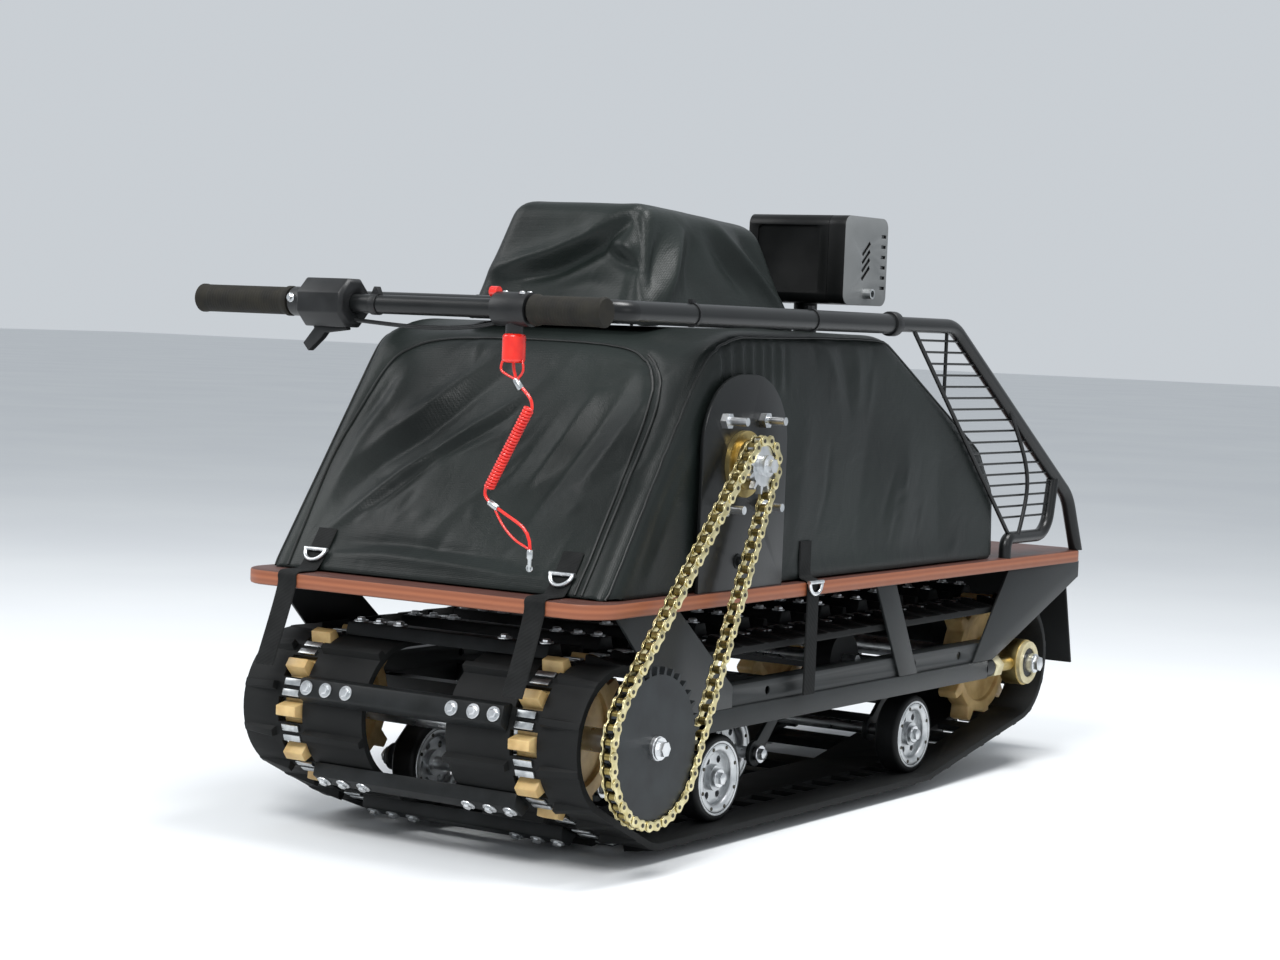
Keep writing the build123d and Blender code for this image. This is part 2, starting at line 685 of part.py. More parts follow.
def make_shaft_bolts():
    """Washer and bolt head on each end of the drive shaft and on the jackshaft."""
    bolts = []
    # columns: x, z, y of the shaft's end, which way is out
    for x, z, end, out in ((0.0, DRIVE_Z, SHAFT_HALF, 1), (0.0, DRIVE_Z, -SHAFT_HALF, -1),
                           (JACK_X, JACK_Z, CHAIN_Y - JACK_END, -1)):
        seat = end + out * WASHER_T
        tip = seat + out * BOLT_T
        washer = rod_y(x, z, WASHER_R, (min(end, seat), max(end, seat)))
        bolts.append(washer + hexagon(x, z, BOLT_R, (min(seat, tip), max(seat, tip))))
    return bolts


def make_drive(nodes):
    """Everything that turns the track: engine, jackshaft, chain, sprockets and drive shaft."""
    bearing_face = PLATE_Y[1] + BEARING_T
    flange_face = DRIVE_PLATE_OUT + FLANGE_T + FLANGE_STEP_T
    nodes["drive_sprockets"] = both(make_track_sprocket(LOOP[0]))
    nodes["idler_sprockets"] = both(make_track_sprocket(LOOP[-1]))
    nodes["drive_shaft"] = rod_y(0, DRIVE_Z, SHAFT_R, (-SHAFT_HALF, SHAFT_HALF))
    bearing = rod_y(0, DRIVE_Z, BEARING_R, (PLATE_Y[1], bearing_face))
    nodes["drive_bearings"] = both(bearing - rod_y(0, DRIVE_Z, SHAFT_R + FIT, (0, SHAFT_HALF)))
    nodes["shaft_bolts"] = make_shaft_bolts()
    nodes["chain"] = make_chain()
    lower, upper = CHAIN_LOOP
    hub_end = -bearing_face - REST
    nodes["driven_sprocket"] = make_chain_wheel(lower, WHEEL_TEETH, SHAFT_R + FIT, SPROCKET_HUB_R, hub_end)
    hub_end = -flange_face - REST
    nodes["chain_pinion"] = make_chain_wheel(upper, PINION_TEETH, JACK_R + FIT, PINION_HUB_R, hub_end)
    nodes["jackshaft"] = rod_y(JACK_X, JACK_Z, JACK_R, (CHAIN_Y - JACK_END, -ENGINE[2]))
    nodes["drive_plate"] = make_drive_plate()
    nodes["bearing_flange"] = make_flange()
    nodes["flange_studs"] = make_studs()
    nodes["engine"] = box(ENGINE[:2], (-ENGINE[2], ENGINE[2]), (DECK_TOP, ENGINE[3]))


def hood_face(inset):
    outline = make_face(Polyline(*[(x, DECK_TOP + z) for x, z in HOOD_OUTLINE], close=True))
    return offset(outline, amount=-inset, kind=Kind.INTERSECTION) if inset else outline


def hood_form(inset):
    """Hood's outline across its width, its side edges rounded above the foot."""
    half = HOOD_HALF - inset
    form = side_extrude(hood_face(inset), (-half, half))
    foot = DECK_TOP + 2 * inset
    sides = form.edges().filter_by(lambda e: abs(abs(e.center().Y) - half) < FIT and e.center().Z > foot + FIT)
    return fillet(sides, HOOD_ROUND - inset)


def make_hood():
    """Fabric shell over the engine, open on the deck, with gaps for the exhaust pipe and the jackshaft."""
    half = HOOD_HALF - HOOD_WALL - HOOD_SEAT
    open_x = (HOOD_REAR + HOOD_WALL + HOOD_SEAT, HOOD_OUTLINE[-1][0] - HOOD_SEAT)
    opening = box(open_x, (-half, half), (DECK_TOP, DECK_TOP + HOOD_SEAT_H))
    pipe = rod((PIPE_X, PIPE_Y, PIPE_Z), (PIPE_X, PIPE_Y, MUFFLER_Z[0]), PIPE_R + PIPE_GAP)
    shaft = rod_y(JACK_X, JACK_Z, JACK_R + SHAFT_GAP, (-HOOD_HALF, -HOOD_HALF + 2 * HOOD_WALL))
    return hood_form(0) - [hood_form(HOOD_WALL), opening, pipe, shaft]


def make_cover():
    """Tapered fabric cover on the hood; its top falls towards the front."""
    x0, x1 = COVER_X
    base = fillet(Rectangle(x1 - x0, 2 * COVER_HALF).vertices(), COVER_ROUND)
    body = Pos((x0 + x1) / 2, 0, HOOD_TOP) * extrude(base, amount=COVER_TOP - HOOD_TOP, taper=COVER_TAPER)
    above = COVER_TOP + COVER_FALL
    waste = [(x0, COVER_TOP), (x1, COVER_TOP - COVER_FALL), (x1, above), (x0, above)]
    body -= plate(waste, (-COVER_HALF, COVER_HALF))
    return fillet(body.faces().sort_by(Axis.Z)[-1].edges(), COVER_CREST)


def make_muffler():
    """Muffler box with a rolled rim on its rear face, and its louvred shield."""
    near = MUFFLER_Y[0] + SHIELD_T
    x0, x1 = MUFFLER_X
    body = box(MUFFLER_X, (near, MUFFLER_Y[1]), MUFFLER_Z)
    body = fillet(body.edges().filter_by(Axis.Y), MUFFLER_ROUND)
    rim = MUFFLER_ROUND
    low, high = MUFFLER_Z
    panel = box((x0, x0 + MUFFLER_LIP), (near + rim, MUFFLER_Y[1] - rim), (low + rim, high - rim))
    body -= fillet(panel.edges().filter_by(Axis.X), rim / 2)
    shield = box(MUFFLER_X, (MUFFLER_Y[0], near), MUFFLER_Z)
    shield = fillet(shield.edges().filter_by(Axis.Y), MUFFLER_ROUND)
    middle_x, middle_z = (x0 + x1) / 2, sum(MUFFLER_Z) / 2
    slot = Rot(0, -LOUVRE_LEAN, 0) * Box(LOUVRE_L, 2 * LOUVRE_DEPTH, LOUVRE_W)
    upper = (LOUVRES - 1) / 2
    slots = [Pos(middle_x, MUFFLER_Y[0], middle_z + LOUVRE_STEP * (upper - k)) * slot for k in range(LOUVRES)]
    slit = Box(SLIT_L, 2 * LOUVRE_DEPTH, SLIT_H)
    first = (SLITS - 1) / 2
    slots += [Pos(x1 - SLIT_L, MUFFLER_Y[0], middle_z + SLIT_STEP * (first - k)) * slit for k in range(SLITS)]
    return body, shield - slots


def make_exhaust(nodes):
    nodes["muffler"], nodes["muffler_shield"] = make_muffler()
    route = [(ENGINE[1], PIPE_Y, PIPE_Z), (PIPE_X, PIPE_Y, PIPE_Z), (PIPE_X, PIPE_Y, MUFFLER_Z[0])]
    nodes["exhaust_pipe"] = tube(route, PIPE_BEND, PIPE_R)
    x, z = sum(MUFFLER_X) / 2, sum(MUFFLER_Z) / 2 - LOUVRES * LOUVRE_STEP
    face = MUFFLER_Y[0]
    outlet = rod_y(x, z, OUTLET_R, (face - OUTLET_L, face))
    outlet -= rod_y(x, z, OUTLET_R - RAIL_WALL, (face - OUTLET_L, face - RAIL_WALL))
    nodes["exhaust_outlet"] = outlet


def make_bow():
    """Left bow tube: level inside the handle's sleeve, then down the front to the deck."""
    y = BOW_Y
    lean = (BOW_FOOT_X - BOW_KNEE[0]) / (BOW_KNEE[1] - DECK_TOP)
    below = DECK_TOP - 2 * BOW_R
    foot_x = BOW_FOOT_X + lean * 2 * BOW_R
    route = [(BOW_REAR, y, BOW_Z), (BOW_CORNER_X, y, BOW_Z), (BOW_KNEE[0], y, BOW_KNEE[1]), (foot_x, y, below)]
    reach = 4 * BOW_R
    under = box((foot_x - reach, foot_x + reach), (y - reach, y + reach), (below - reach, DECK_TOP))
    return tube(route, BOW_BEND, BOW_R) - under


def make_grille(bow):
    """Left guard: the lower branch tube, a leaning rod behind the hood's edge, and the wires to the bow."""
    y = BOW_Y
    slope = (BOW_KNEE[0] - BOW_CORNER_X) / (BOW_KNEE[1] - BOW_Z)
    join_x = BRANCH_KNEE[0] + BRANCH_RISE
    join_z = BOW_Z + (join_x - BOW_CORNER_X) / slope
    rise = [(BRANCH_X, y, DECK_TOP), (BRANCH_X, y, BRANCH_Z)]
    route = rise + [(BRANCH_KNEE[0], y, BRANCH_Z), (join_x, y, join_z)]
    guard = tube(route, BRANCH_BENDS, BRANCH_R)
    rear_top, rear_low = (GRILLE_REAR_X, BOW_Z), (BRANCH_X + BRANCH_BENDS[0], BRANCH_Z)
    lean = (rear_low[0] - rear_top[0]) / (rear_low[1] - rear_top[1])
    bars = [rod((rear_top[0], y, rear_top[1]), (rear_low[0], y, rear_low[1]), GRILLE_ROD_R)]
    z = GRILLE_TOP
    while z > BRANCH_Z + WIRE_STEP:
        start = rear_top[0] + lean * (z - rear_top[1])
        end = min(BOW_CORNER_X + slope * (z - BOW_Z), join_x)
        if z < join_z:
            end = BRANCH_KNEE[0] + BRANCH_RISE * (z - BRANCH_Z) / (join_z - BRANCH_Z)
        bars.append(rod((start, y, z), (end, y, z), WIRE_R))
        z -= WIRE_STEP
    guard = guard + bars - bow
    return guard.solids().sort_by(SortBy.VOLUME)[-1]


def make_control_cable(bow, grille):
    """Cable on the right side, from the bow down to the lower branch."""
    y = -BOW_Y - CABLE_SIDE
    cable = tube([(x, y, z) for x, z in CABLE_ROUTE], CABLE_BENDS, CABLE_R) - [bow, grille]
    return cable.solids().sort_by(SortBy.VOLUME)[-1]


def make_guards(nodes):
    bow = make_bow()
    nodes["bow_left"], nodes["bow_right"] = both(bow)
    nodes["grille_left"], nodes["grille_right"] = both(make_grille(bow))
    nodes["control_cable"] = make_control_cable(nodes["bow_right"], nodes["grille_right"])
    x, z = FLAP_TIP
    flap = [(FLAP_TOP_X, DECK_Z), (FLAP_TOP_X + FLAP_T, DECK_Z), (x, z), (x - FLAP_T, z)]
    nodes["front_flap"] = plate(flap, (-FLAP_HALF, FLAP_HALF))


def make_side_strap():
    """Left side strap: from the hood's foot over the deck's edge down to the rail."""
    t = STRAP_T
    y0, y1 = HOOD_HALF + REST, DECK_HALF + REST
    top, low = DECK_TOP + STRAP_RISE, UPPER_Z + t
    outline = [(y0, top), (y0 + t, top), (y0 + t, DECK_TOP + t), (y1 + t, DECK_TOP + t),
               (y1 + t, low), (y1, low), (y1, DECK_TOP + REST), (y0, DECK_TOP + REST)]
    face = make_face(Polyline(*outline, close=True))
    return Pos(SIDE_STRAP_X - STRAP_W / 2, 0, 0) * extrude(Plane.YZ * face, amount=STRAP_W, dir=(1, 0, 0))


REAR_LEAN = (HOOD_OUTLINE[1][0] - HOOD_REAR) / HOOD_OUTLINE[1][1]
STRAP_FOOT = HOOD_REAR - STRAP_LIFT


def make_rear_strap():
    """Left rear strap: down the hood's sloping back, over the deck's edge, then hanging loose."""
    t = STRAP_T
    x0, x1 = STRAP_FOOT, DECK_X[0] - REST
    top, low = DECK_TOP + STRAP_RISE, DECK_Z - REAR_STRAP_DROP
    top_x = x0 + REAR_LEAN * STRAP_RISE
    outline = [(top_x, top), (top_x - t, top), (x0 - t + REAR_LEAN * t, DECK_TOP + t), (x1 - t, DECK_TOP + t),
               (x1 - t, DECK_Z), (x1 - t - REAR_STRAP_BACK, low), (x1 - REAR_STRAP_BACK, low), (x1, DECK_Z),
               (x1, DECK_TOP + REST), (x0, DECK_TOP + REST)]
    return plate(outline, (REAR_STRAP_Y - STRAP_W / 2, REAR_STRAP_Y + STRAP_W / 2))


def make_rings():
    """D-rings: bar at the top, bow hanging down, flat against each strap."""
    bow = revolve(Plane.XY * Pos(RING_R, 0) * Circle(RING_WIRE), Axis.Y, 180)
    reach = RING_R + RING_WIRE
    ring = bow + rod((-reach, 0, 0), (reach, 0, 0), RING_WIRE)
    stand = RING_WIRE + REST
    side = Pos(SIDE_STRAP_X, DECK_HALF + REST + STRAP_T + stand, DECK_TOP - REST) * ring
    tilt = atan2(REAR_LEAN, 1)
    x = STRAP_FOOT - STRAP_T + REAR_LEAN * RING_Z - stand / cos(tilt)
    rear = Pos(x, REAR_STRAP_Y, DECK_TOP + RING_Z) * Rot(0, degrees(tilt), 0) * Rot(0, 0, 90) * ring
    return both(side) + both(rear)


def make_handle_loop():
    y = BOW_Y
    outer = tube([(SLEEVE_FRONT, y, BOW_Z), (LOOP_X, y, BOW_Z), (LOOP_X, -y, BOW_Z), (SLEEVE_FRONT, -y, BOW_Z)],
                 LOOP_BEND, SLEEVE_R)
    end = LOOP_X + LOOP_BEND + SLEEVE_PLUG
    bore = BOW_R + SLIDE_FIT
    bores = [rod((SLEEVE_FRONT, side * y, BOW_Z), (end, side * y, BOW_Z), bore) for side in (1, -1)]
    return outer - bores


def make_grip(length, bar):
    """Left-hand grip with a flared rim at each end, closed over the bar's end."""
    y0, y1 = BAR_REACH - length, BAR_REACH
    grip = rod_y(BAR_X, BAR_Z, GRIP_R, (y0, y1))
    for rim in ((y0, y0 + GRIP_RIM / 2), (y1 - GRIP_RIM, y1)):
        grip += rod_y(BAR_X, BAR_Z, GRIP_R + GRIP_FLARE, rim)
    return grip - bar


def make_throttle(bar):
    """Eight-sided throttle housing with its neck, and the thumb lever under it."""
    y0, y1 = HOUSING_Y
    turn = 180 / HOUSING_SIDES
    face = Pos(BAR_X, BAR_Z) * RegularPolygon(HOUSING_R, HOUSING_SIDES, major_radius=False, rotation=turn)
    body = side_extrude(face, HOUSING_Y)
    rims = body.edges().filter_by(lambda e: abs(e.length - 2 * HOUSING_R * (sqrt(2) - 1)) < FIT)
    body = chamfer(rims, HOUSING_CHAMFER) + rod_y(BAR_X, BAR_Z, NECK_R, (y1, y1 + NECK_L))
    outline = [(y1 + y, BAR_Z + z) for y, z in LEVER_OUTLINE]
    face = Plane.YZ * make_face(Polyline(*outline, close=True))
    lever = Pos(BAR_X - LEVER_T / 2, 0, 0) * extrude(face, amount=LEVER_T, dir=(1, 0, 0))
    lever = (lever - body).solids().sort_by(SortBy.VOLUME)[-1]
    return body - bar, lever


def make_stop_switch(bar):
    """Switch clamped on the bar with the socket under it, the red cap on the socket and the red button."""
    y = sum(SWITCH_Y) / 2
    low = BAR_Z - SWITCH_R - SOCKET_H
    clamp = rod_y(BAR_X, BAR_Z, SWITCH_R, SWITCH_Y)
    socket = rod((BAR_X, y, low), (BAR_X, y, BAR_Z - BAR_R), SOCKET_R)
    cap = rod((BAR_X, y, low - CAP_H), (BAR_X, y, low), CAP_R)
    cap = fillet(cap.edges().filter_by(GeomType.CIRCLE), CAP_ROUND)
    button = rod_y(BAR_X, BAR_Z + SWITCH_R - REST, BUTTON_R, (SWITCH_Y[1], SWITCH_Y[1] + BUTTON_L))
    return clamp + socket - bar, [cap, button]


def make_switch_lead():
    """Lead under the bar, from the throttle housing to the stop switch."""
    span = SWITCH_Y[1] - HOUSING_Y[0]
    route = [(BAR_X, HOUSING_Y[0] + share * span, BAR_Z + z) for share, z in LEAD_ROUTE]
    return tube(route, LEAD_BENDS, WIRE_LEAD_R)


def make_lanyard():
    """Cord from the stop cap, its coil, and the loose end with its clip."""
    middle = sum(SWITCH_Y) / 2
    drop = -SWITCH_R - SOCKET_H - CAP_H
    run = hypot(COIL_LOW[0] - COIL_TOP[0], COIL_LOW[1] - COIL_TOP[1])
    way = ((COIL_LOW[0] - COIL_TOP[0]) / run, (COIL_LOW[1] - COIL_TOP[1]) / run)
    before = (COIL_TOP[0] - COIL_LEAD[0] * way[0], COIL_TOP[1] - COIL_LEAD[0] * way[1])
    after = (COIL_LOW[0] + COIL_LEAD[1] * way[0], COIL_LOW[1] + COIL_LEAD[1] * way[1])

    def hang(points):
        return [(BAR_X, middle + y, BAR_Z + z) for y, z in points]
    upper = tube(hang([(0.0, drop), (0.0, drop - CORD_DROP), before, COIL_TOP]), CORD_BENDS, CORD_R)
    coil = rod(*hang([COIL_TOP, COIL_LOW]), COIL_R)
    lower = tube(hang([COIL_LOW, after] + CORD_END), END_BENDS, CORD_R)
    clip = rod(*hang([CORD_END[-1], CLIP_END]), CLIP_R)
    return upper, coil, lower, clip


def make_handle(nodes):
    loop = make_handle_loop()
    end = BAR_REACH - GRIP_CAP
    bar = rod_y(BAR_X, BAR_Z, BAR_R, (-end, end))
    nodes["handle_loop"], nodes["handlebar"] = loop, bar
    stems = [rod((LOOP_X, y, BOW_Z), (BAR_X, y, BAR_Z), STEM_R) for y in STEM_Y]
    nodes["handle_stems"] = [stem - loop - bar for stem in stems]
    nodes["grips"] = [make_grip(GRIP_L, bar), both(make_grip(SHORT_GRIP_L, bar))[1]]
    nodes["throttle_housing"], nodes["throttle_lever"] = make_throttle(bar)
    nodes["stop_switch"], nodes["stop_cap"] = make_stop_switch(bar)
    nodes["switch_lead"] = make_switch_lead()
    names = ("lanyard_upper", "lanyard_coil", "lanyard_lower", "lanyard_clip")
    nodes.update(zip(names, make_lanyard()))


def make_nodes():
    nodes = {"track": both(make_belt()), "track_bars": make_track_bars()}
    make_running_gear(nodes)
    for pick, name in ((0, "left"), (1, "right")):
        nodes[f"lower_rail_{name}"] = both(make_tube_rail(LOWER_X, LOWER_Y, LOWER_Z))[pick]
        nodes[f"upper_rail_{name}"] = both(make_upper_rail())[pick]
        nodes[f"side_plates_{name}"] = [both(shape)[pick] for shape in make_side_plates()]
    nodes["deck"] = make_deck()
    make_drive(nodes)
    nodes["hood"], nodes["top_cover"] = make_hood(), make_cover()
    make_exhaust(nodes)
    make_guards(nodes)
    nodes["straps"] = both(make_side_strap()) + both(make_rear_strap())
    nodes["strap_rings"] = make_rings()
    make_handle(nodes)
    return nodes


# Middle of the whole length, which becomes x = 0
MID_X = (FLAP_TIP[0] + BAR_X - HOUSING_R) / 2
print(f"idler at {IDLER_X:.2f}, jackshaft at {JACK_X:.2f}, {JACK_Z:.2f}, x shift {MID_X:.2f}")

os.makedirs("parts", exist_ok=True)
for name, shape in make_nodes().items():
    solids = shape if isinstance(shape, list) else [shape]
    loose = [Pos(-MID_X, 0, 0) * solid for item in solids for solid in item.solids()]
    whole = Compound(children=loose) if len(loose) > 1 else loose[0]
    export_step(whole, f"parts/{name}.step")
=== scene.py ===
"""Looks of the tracked snow tug: fabric hood, track, chain drive, guards and handle, on its frame."""
import json
import math
import random

import bmesh
import bpy
import numpy as np
from mathutils import Matrix, Vector
from mathutils.bvhtree import BVHTree
from mathutils.kdtree import KDTree


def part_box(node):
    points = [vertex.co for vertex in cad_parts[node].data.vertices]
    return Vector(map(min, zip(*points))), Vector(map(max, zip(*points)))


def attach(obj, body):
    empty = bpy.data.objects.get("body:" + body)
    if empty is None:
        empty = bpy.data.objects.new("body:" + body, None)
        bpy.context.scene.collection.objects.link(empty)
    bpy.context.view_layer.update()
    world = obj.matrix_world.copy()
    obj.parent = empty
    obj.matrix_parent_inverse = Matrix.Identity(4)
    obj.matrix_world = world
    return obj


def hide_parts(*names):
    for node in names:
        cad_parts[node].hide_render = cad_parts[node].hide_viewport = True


bl_info = {
    "name": "Tracked snow tug",
    "version": (1, 0, 0),
    "blender": (4, 5, 0),
    "location": "3D View > Sidebar > Snow tug",
    "description": "Dresses the tug's frame with its fabric, rubber, chain, bolts, cables and studio",
    "category": "Object",
}

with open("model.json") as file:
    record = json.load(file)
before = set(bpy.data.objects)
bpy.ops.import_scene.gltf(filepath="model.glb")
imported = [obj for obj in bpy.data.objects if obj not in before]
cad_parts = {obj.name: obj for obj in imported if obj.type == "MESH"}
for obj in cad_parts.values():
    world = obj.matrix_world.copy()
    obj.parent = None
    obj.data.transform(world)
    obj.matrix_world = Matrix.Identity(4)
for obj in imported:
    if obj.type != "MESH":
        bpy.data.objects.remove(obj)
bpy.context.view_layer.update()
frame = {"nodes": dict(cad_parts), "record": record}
NODES = frame["nodes"]
MM = 0.001
CHASSIS, HANDLE = "chassis", "handle"
X, Y, Z = Vector((1, 0, 0)), Vector((0, 1, 0)), Vector((0, 0, 1))
SIDES = (1, -1)


def centre(node):
    low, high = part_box(node)
    return (Vector(low) + Vector(high)) / 2


DRIVE_X = centre("drive_shaft").x


def spot(x, y, z):
    """A point from millimetres, x measured from the drive shaft, y and z from the frame's own zero."""
    return Vector((DRIVE_X + x * MM, y * MM, z * MM))


# Forms: each adds faces to a bmesh, with sizes in millimetres


def bridge(net, one, two):
    """Faces between two rings of vertices, either of which may be a single point."""
    for k in range(max(len(one), len(two))):
        corners = [one[k % len(one)], one[(k + 1) % len(one)], two[(k + 1) % len(two)], two[k % len(two)]]
        face = list(dict.fromkeys(corners))
        if len(face) > 2:
            net.faces.new(face)


def ring(net, middle, across, over, radius, count):
    turns = [math.tau * k / count for k in range(count)]
    spokes = [across * math.cos(t) + over * math.sin(t) for t in turns]
    return [net.verts.new(middle + spoke * radius * MM) for spoke in spokes]


def turned(net, profile, base, axis, sides=24):
    """A turned form: profile rows are the distance along the axis and the radius there."""
    axis = Vector(axis).normalized()
    across = axis.orthogonal().normalized()
    over = axis.cross(across)
    rings = []
    for along, radius in profile:
        middle = base + axis * along * MM
        rings.append(ring(net, middle, across, over, radius, sides) if radius else [net.verts.new(middle)])
    for one, two in zip(rings, rings[1:]):
        bridge(net, one, two)


def headings(line, closed=False):
    """Unit direction of a line at each of its points."""
    count = len(line)
    found = []
    for k in range(count):
        before = line[k - 1] if k or closed else line[0]
        after = line[(k + 1) % count] if k < count - 1 or closed else line[-1]
        found.append((after - before).normalized())
    return found


def swept(net, line, radius, sides=10, closed=False):
    """A round wire along a line of points."""
    rings, up = [], None
    for point, along in zip(line, headings(line, closed)):
        up = along.orthogonal() if up is None else up - along * up.dot(along)
        up.normalize()
        rings.append(ring(net, point, up, along.cross(up), radius, sides))
    for one, two in zip(rings, rings[1:]):
        bridge(net, one, two)
    if closed:
        bridge(net, rings[-1], rings[0])
    else:
        net.faces.new(rings[0])
        net.faces.new(rings[-1])


def ribbon(net, line, side, half, thick):
    """A flat strap along a line; side runs across its width."""
    lip = thick / 2
    section = [(-half, 0), (lip - half, lip), (half - lip, lip),
               (half, 0), (half - lip, -lip), (lip - half, -lip)]
    rings = []
    for point, along in zip(line, headings(line)):
        out = along.cross(side).normalized()
        rings.append([net.verts.new(point + (side * a + out * b) * MM) for a, b in section])
    for one, two in zip(rings, rings[1:]):
        bridge(net, one, two)
    net.faces.new(rings[0])
    net.faces.new(rings[-1])


def prism(net, outline, origin, u, v, depth):
    """A plate: its outline on the axes u and v, thickened along their cross product."""
    out = u.cross(v).normalized()
    low = [net.verts.new(origin + (u * a + v * b) * MM) for a, b in outline]
    high = [net.verts.new(corner.co + out * depth * MM) for corner in low]
    bridge(net, low, high)
    net.faces.new(low)
    net.faces.new(high)


def eased(points, steps=8):
    """A smooth line through points, with so many steps between two of them."""
    line = []
    for k in range(len(points) - 1):
        a, b = points[max(k - 1, 0)], points[k]
        c, d = points[k + 1], points[min(k + 2, len(points) - 1)]
        for step in range(steps):
            t = step / steps
            line.append(((2 * b) + (c - a) * t + (2 * a - 5 * b + 4 * c - d) * t * t
                         + (3 * b - a - 3 * c + d) * t ** 3) / 2)
    return line + [points[-1]]


WASHER_WALL = 0.7          # of a washer's thickness, before its edge is broken
WASHER_LIP = 0.94          # of its radius, where the broken edge ends
WASHER_SIDES = 20
HEAD_CHAMFER = 1.0
HEAD_FLAT = 0.8            # of a head's radius, inside the chamfer
HEAD_SIDES = 6


def bolt(net, base, axis, head, tall, washer, thick):
    """A hexagon head on its washer: head's radius and height, washer's radius and thickness."""
    disc = [(0, 0), (0, washer), (thick * WASHER_WALL, washer), (thick, washer * WASHER_LIP), (thick, 0)]
    turned(net, disc, base, axis, WASHER_SIDES)
    top = thick + tall
    cap = [(thick, 0), (thick, head), (top - HEAD_CHAMFER, head), (top, head * HEAD_FLAT), (top, 0)]
    turned(net, cap, base, axis, HEAD_SIDES)


SHARP = math.radians(38)
WELD = 1e-5                # metres within which two corners are one
FLAT_TURN = math.radians(1)


def welded(node):
    """A copy of a frame node's mesh with its doubled corners joined."""
    net = bmesh.new()
    net.from_mesh(NODES[node].data)
    net.transform(NODES[node].matrix_world)
    bmesh.ops.remove_doubles(net, verts=net.verts[:], dist=WELD)
    return net


def piece(net, name, slot, body=CHASSIS, stands_for=(), edge=0.0):
    """Makes the object, eases its sharp edges, gives it its finish and joins it to its body."""
    bmesh.ops.recalc_face_normals(net, faces=net.faces[:])
    if edge:
        keen = [e for e in net.edges if len(e.link_faces) == 2 and e.calc_face_angle() > SHARP]
        bmesh.ops.bevel(net, geom=keen, offset=edge * MM, segments=2, profile=0.5, affect="EDGES",
                        clamp_overlap=True)
    for face in net.faces:
        face.smooth = True
    for e in net.edges:
        e.smooth = len(e.link_faces) != 2 or e.calc_face_angle() < SHARP
    mesh = bpy.data.meshes.new(name)
    net.to_mesh(mesh)
    net.free()
    return settle(mesh, name, slot, body, stands_for)


def settle(data, name, slot, body=CHASSIS, stands_for=()):
    """Links mesh or curve data as a piece of the object."""
    data.materials.append(MATERIALS[slot])
    made = bpy.data.objects.new(name, data)
    bpy.context.scene.collection.objects.link(made)
    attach(made, body)
    if stands_for:
        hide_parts(*stands_for)
    return made


# nodes whose sharp edges are eased, columns: body, mm, nodes
EASED = [
    (CHASSIS, 0.8, ("drive_plate", "side_plates_left", "side_plates_right", "wheel_arms", "front_flap")),
    (CHASSIS, 2.0, ("track_bars", "muffler_shield")),
    (CHASSIS, 5.0, ("muffler",)),
    (CHASSIS, 2.6, ("deck", "upper_rail_left", "upper_rail_right", "lower_rail_left", "lower_rail_right")),
    (CHASSIS, 3.4, ("drive_sprockets", "idler_sprockets")),
    (HANDLE, 1.5, ("throttle_housing", "throttle_lever", "stop_switch")),
]


BARE_TURN = 0.7            # cosine of the turn from the bare face beyond which a face is given the muffler's black


def ease(node, edge, body):
    """A copy of a frame node with rounded edges stands for it, so that its edges catch the light."""
    net = welded(node)
    bmesh.ops.dissolve_limit(net, angle_limit=FLAT_TURN, verts=net.verts[:], edges=net.edges[:])
    return piece(net, f"{node}_eased", SLOTS[node], body, [node], edge)


def blacken_turned_faces(shield, bare):
    """Gives every face of a sheet that turns away from bare the muffler's black; only its faces towards bare
    keep their own colour.
    """
    shield.data.materials.append(MATERIALS[SLOTS["muffler"]])
    for face in shield.data.polygons:
        face.material_index = int(face.normal.dot(bare) < BARE_TURN)


# Colours and materials


def linear(text):
    """sRGB hex to the linear colour that shaders take."""
    values = [int(text[i:i + 2], 16) / 255 for i in (1, 3, 5)]
    return [v / 12.92 if v <= 0.04045 else ((v + 0.055) / 1.055) ** 2.4 for v in values] + [1.0]


def add(tree, kind, inputs=None, **settings):
    """Adds a node: settings are its own, inputs are constants or other nodes' outputs."""
    made = tree.nodes.new(kind)
    for name, value in settings.items():
        setattr(made, name, value)
    for socket, value in (inputs or {}).items():
        if isinstance(value, bpy.types.NodeSocket):
            tree.links.new(value, made.inputs[socket])
        else:
            made.inputs[socket].default_value = value
    return made


def per_mm(size):
    """Texture scale at which one repeat is about this many millimetres."""
    return 1000.0 / size


def start(name, **surface):
    """A new material with its surface shader's constants set on their own sockets."""
    material = bpy.data.materials.new(name)
    material.use_nodes = True
    tree = material.node_tree
    shader = tree.nodes["Principled BSDF"]
    for socket, value in surface.items():
        shader.inputs[socket.replace("_", " ")].default_value = value
    place = add(tree, "ShaderNodeTexCoord").outputs["Object"]
    return material, tree, shader, place


SHADE_SPREAD = 0.32, 0.7   # of the noise, between the pure darker and the pure lighter shade


def mottle(tree, shader, place, size, low, high, detail=3.0):
    """Base colour that drifts between two shades over patches of a size in mm; returns the noise."""
    noise = add(tree, "ShaderNodeTexNoise", {"Vector": place, "Scale": per_mm(size), "Detail": detail})
    ramp = add(tree, "ShaderNodeValToRGB", {"Fac": noise.outputs["Fac"]})
    ends = ramp.color_ramp.elements
    ends[0].position, ends[1].position = SHADE_SPREAD
    ends[0].color, ends[1].color = linear(low), linear(high)
    tree.links.new(ramp.outputs["Color"], shader.inputs["Base Color"])
    return noise


def rough_between(tree, shader, source, low, high):
    spread = add(tree, "ShaderNodeMapRange", {"Value": source, "To Min": low, "To Max": high})
    tree.links.new(spread.outputs["Result"], shader.inputs["Roughness"])


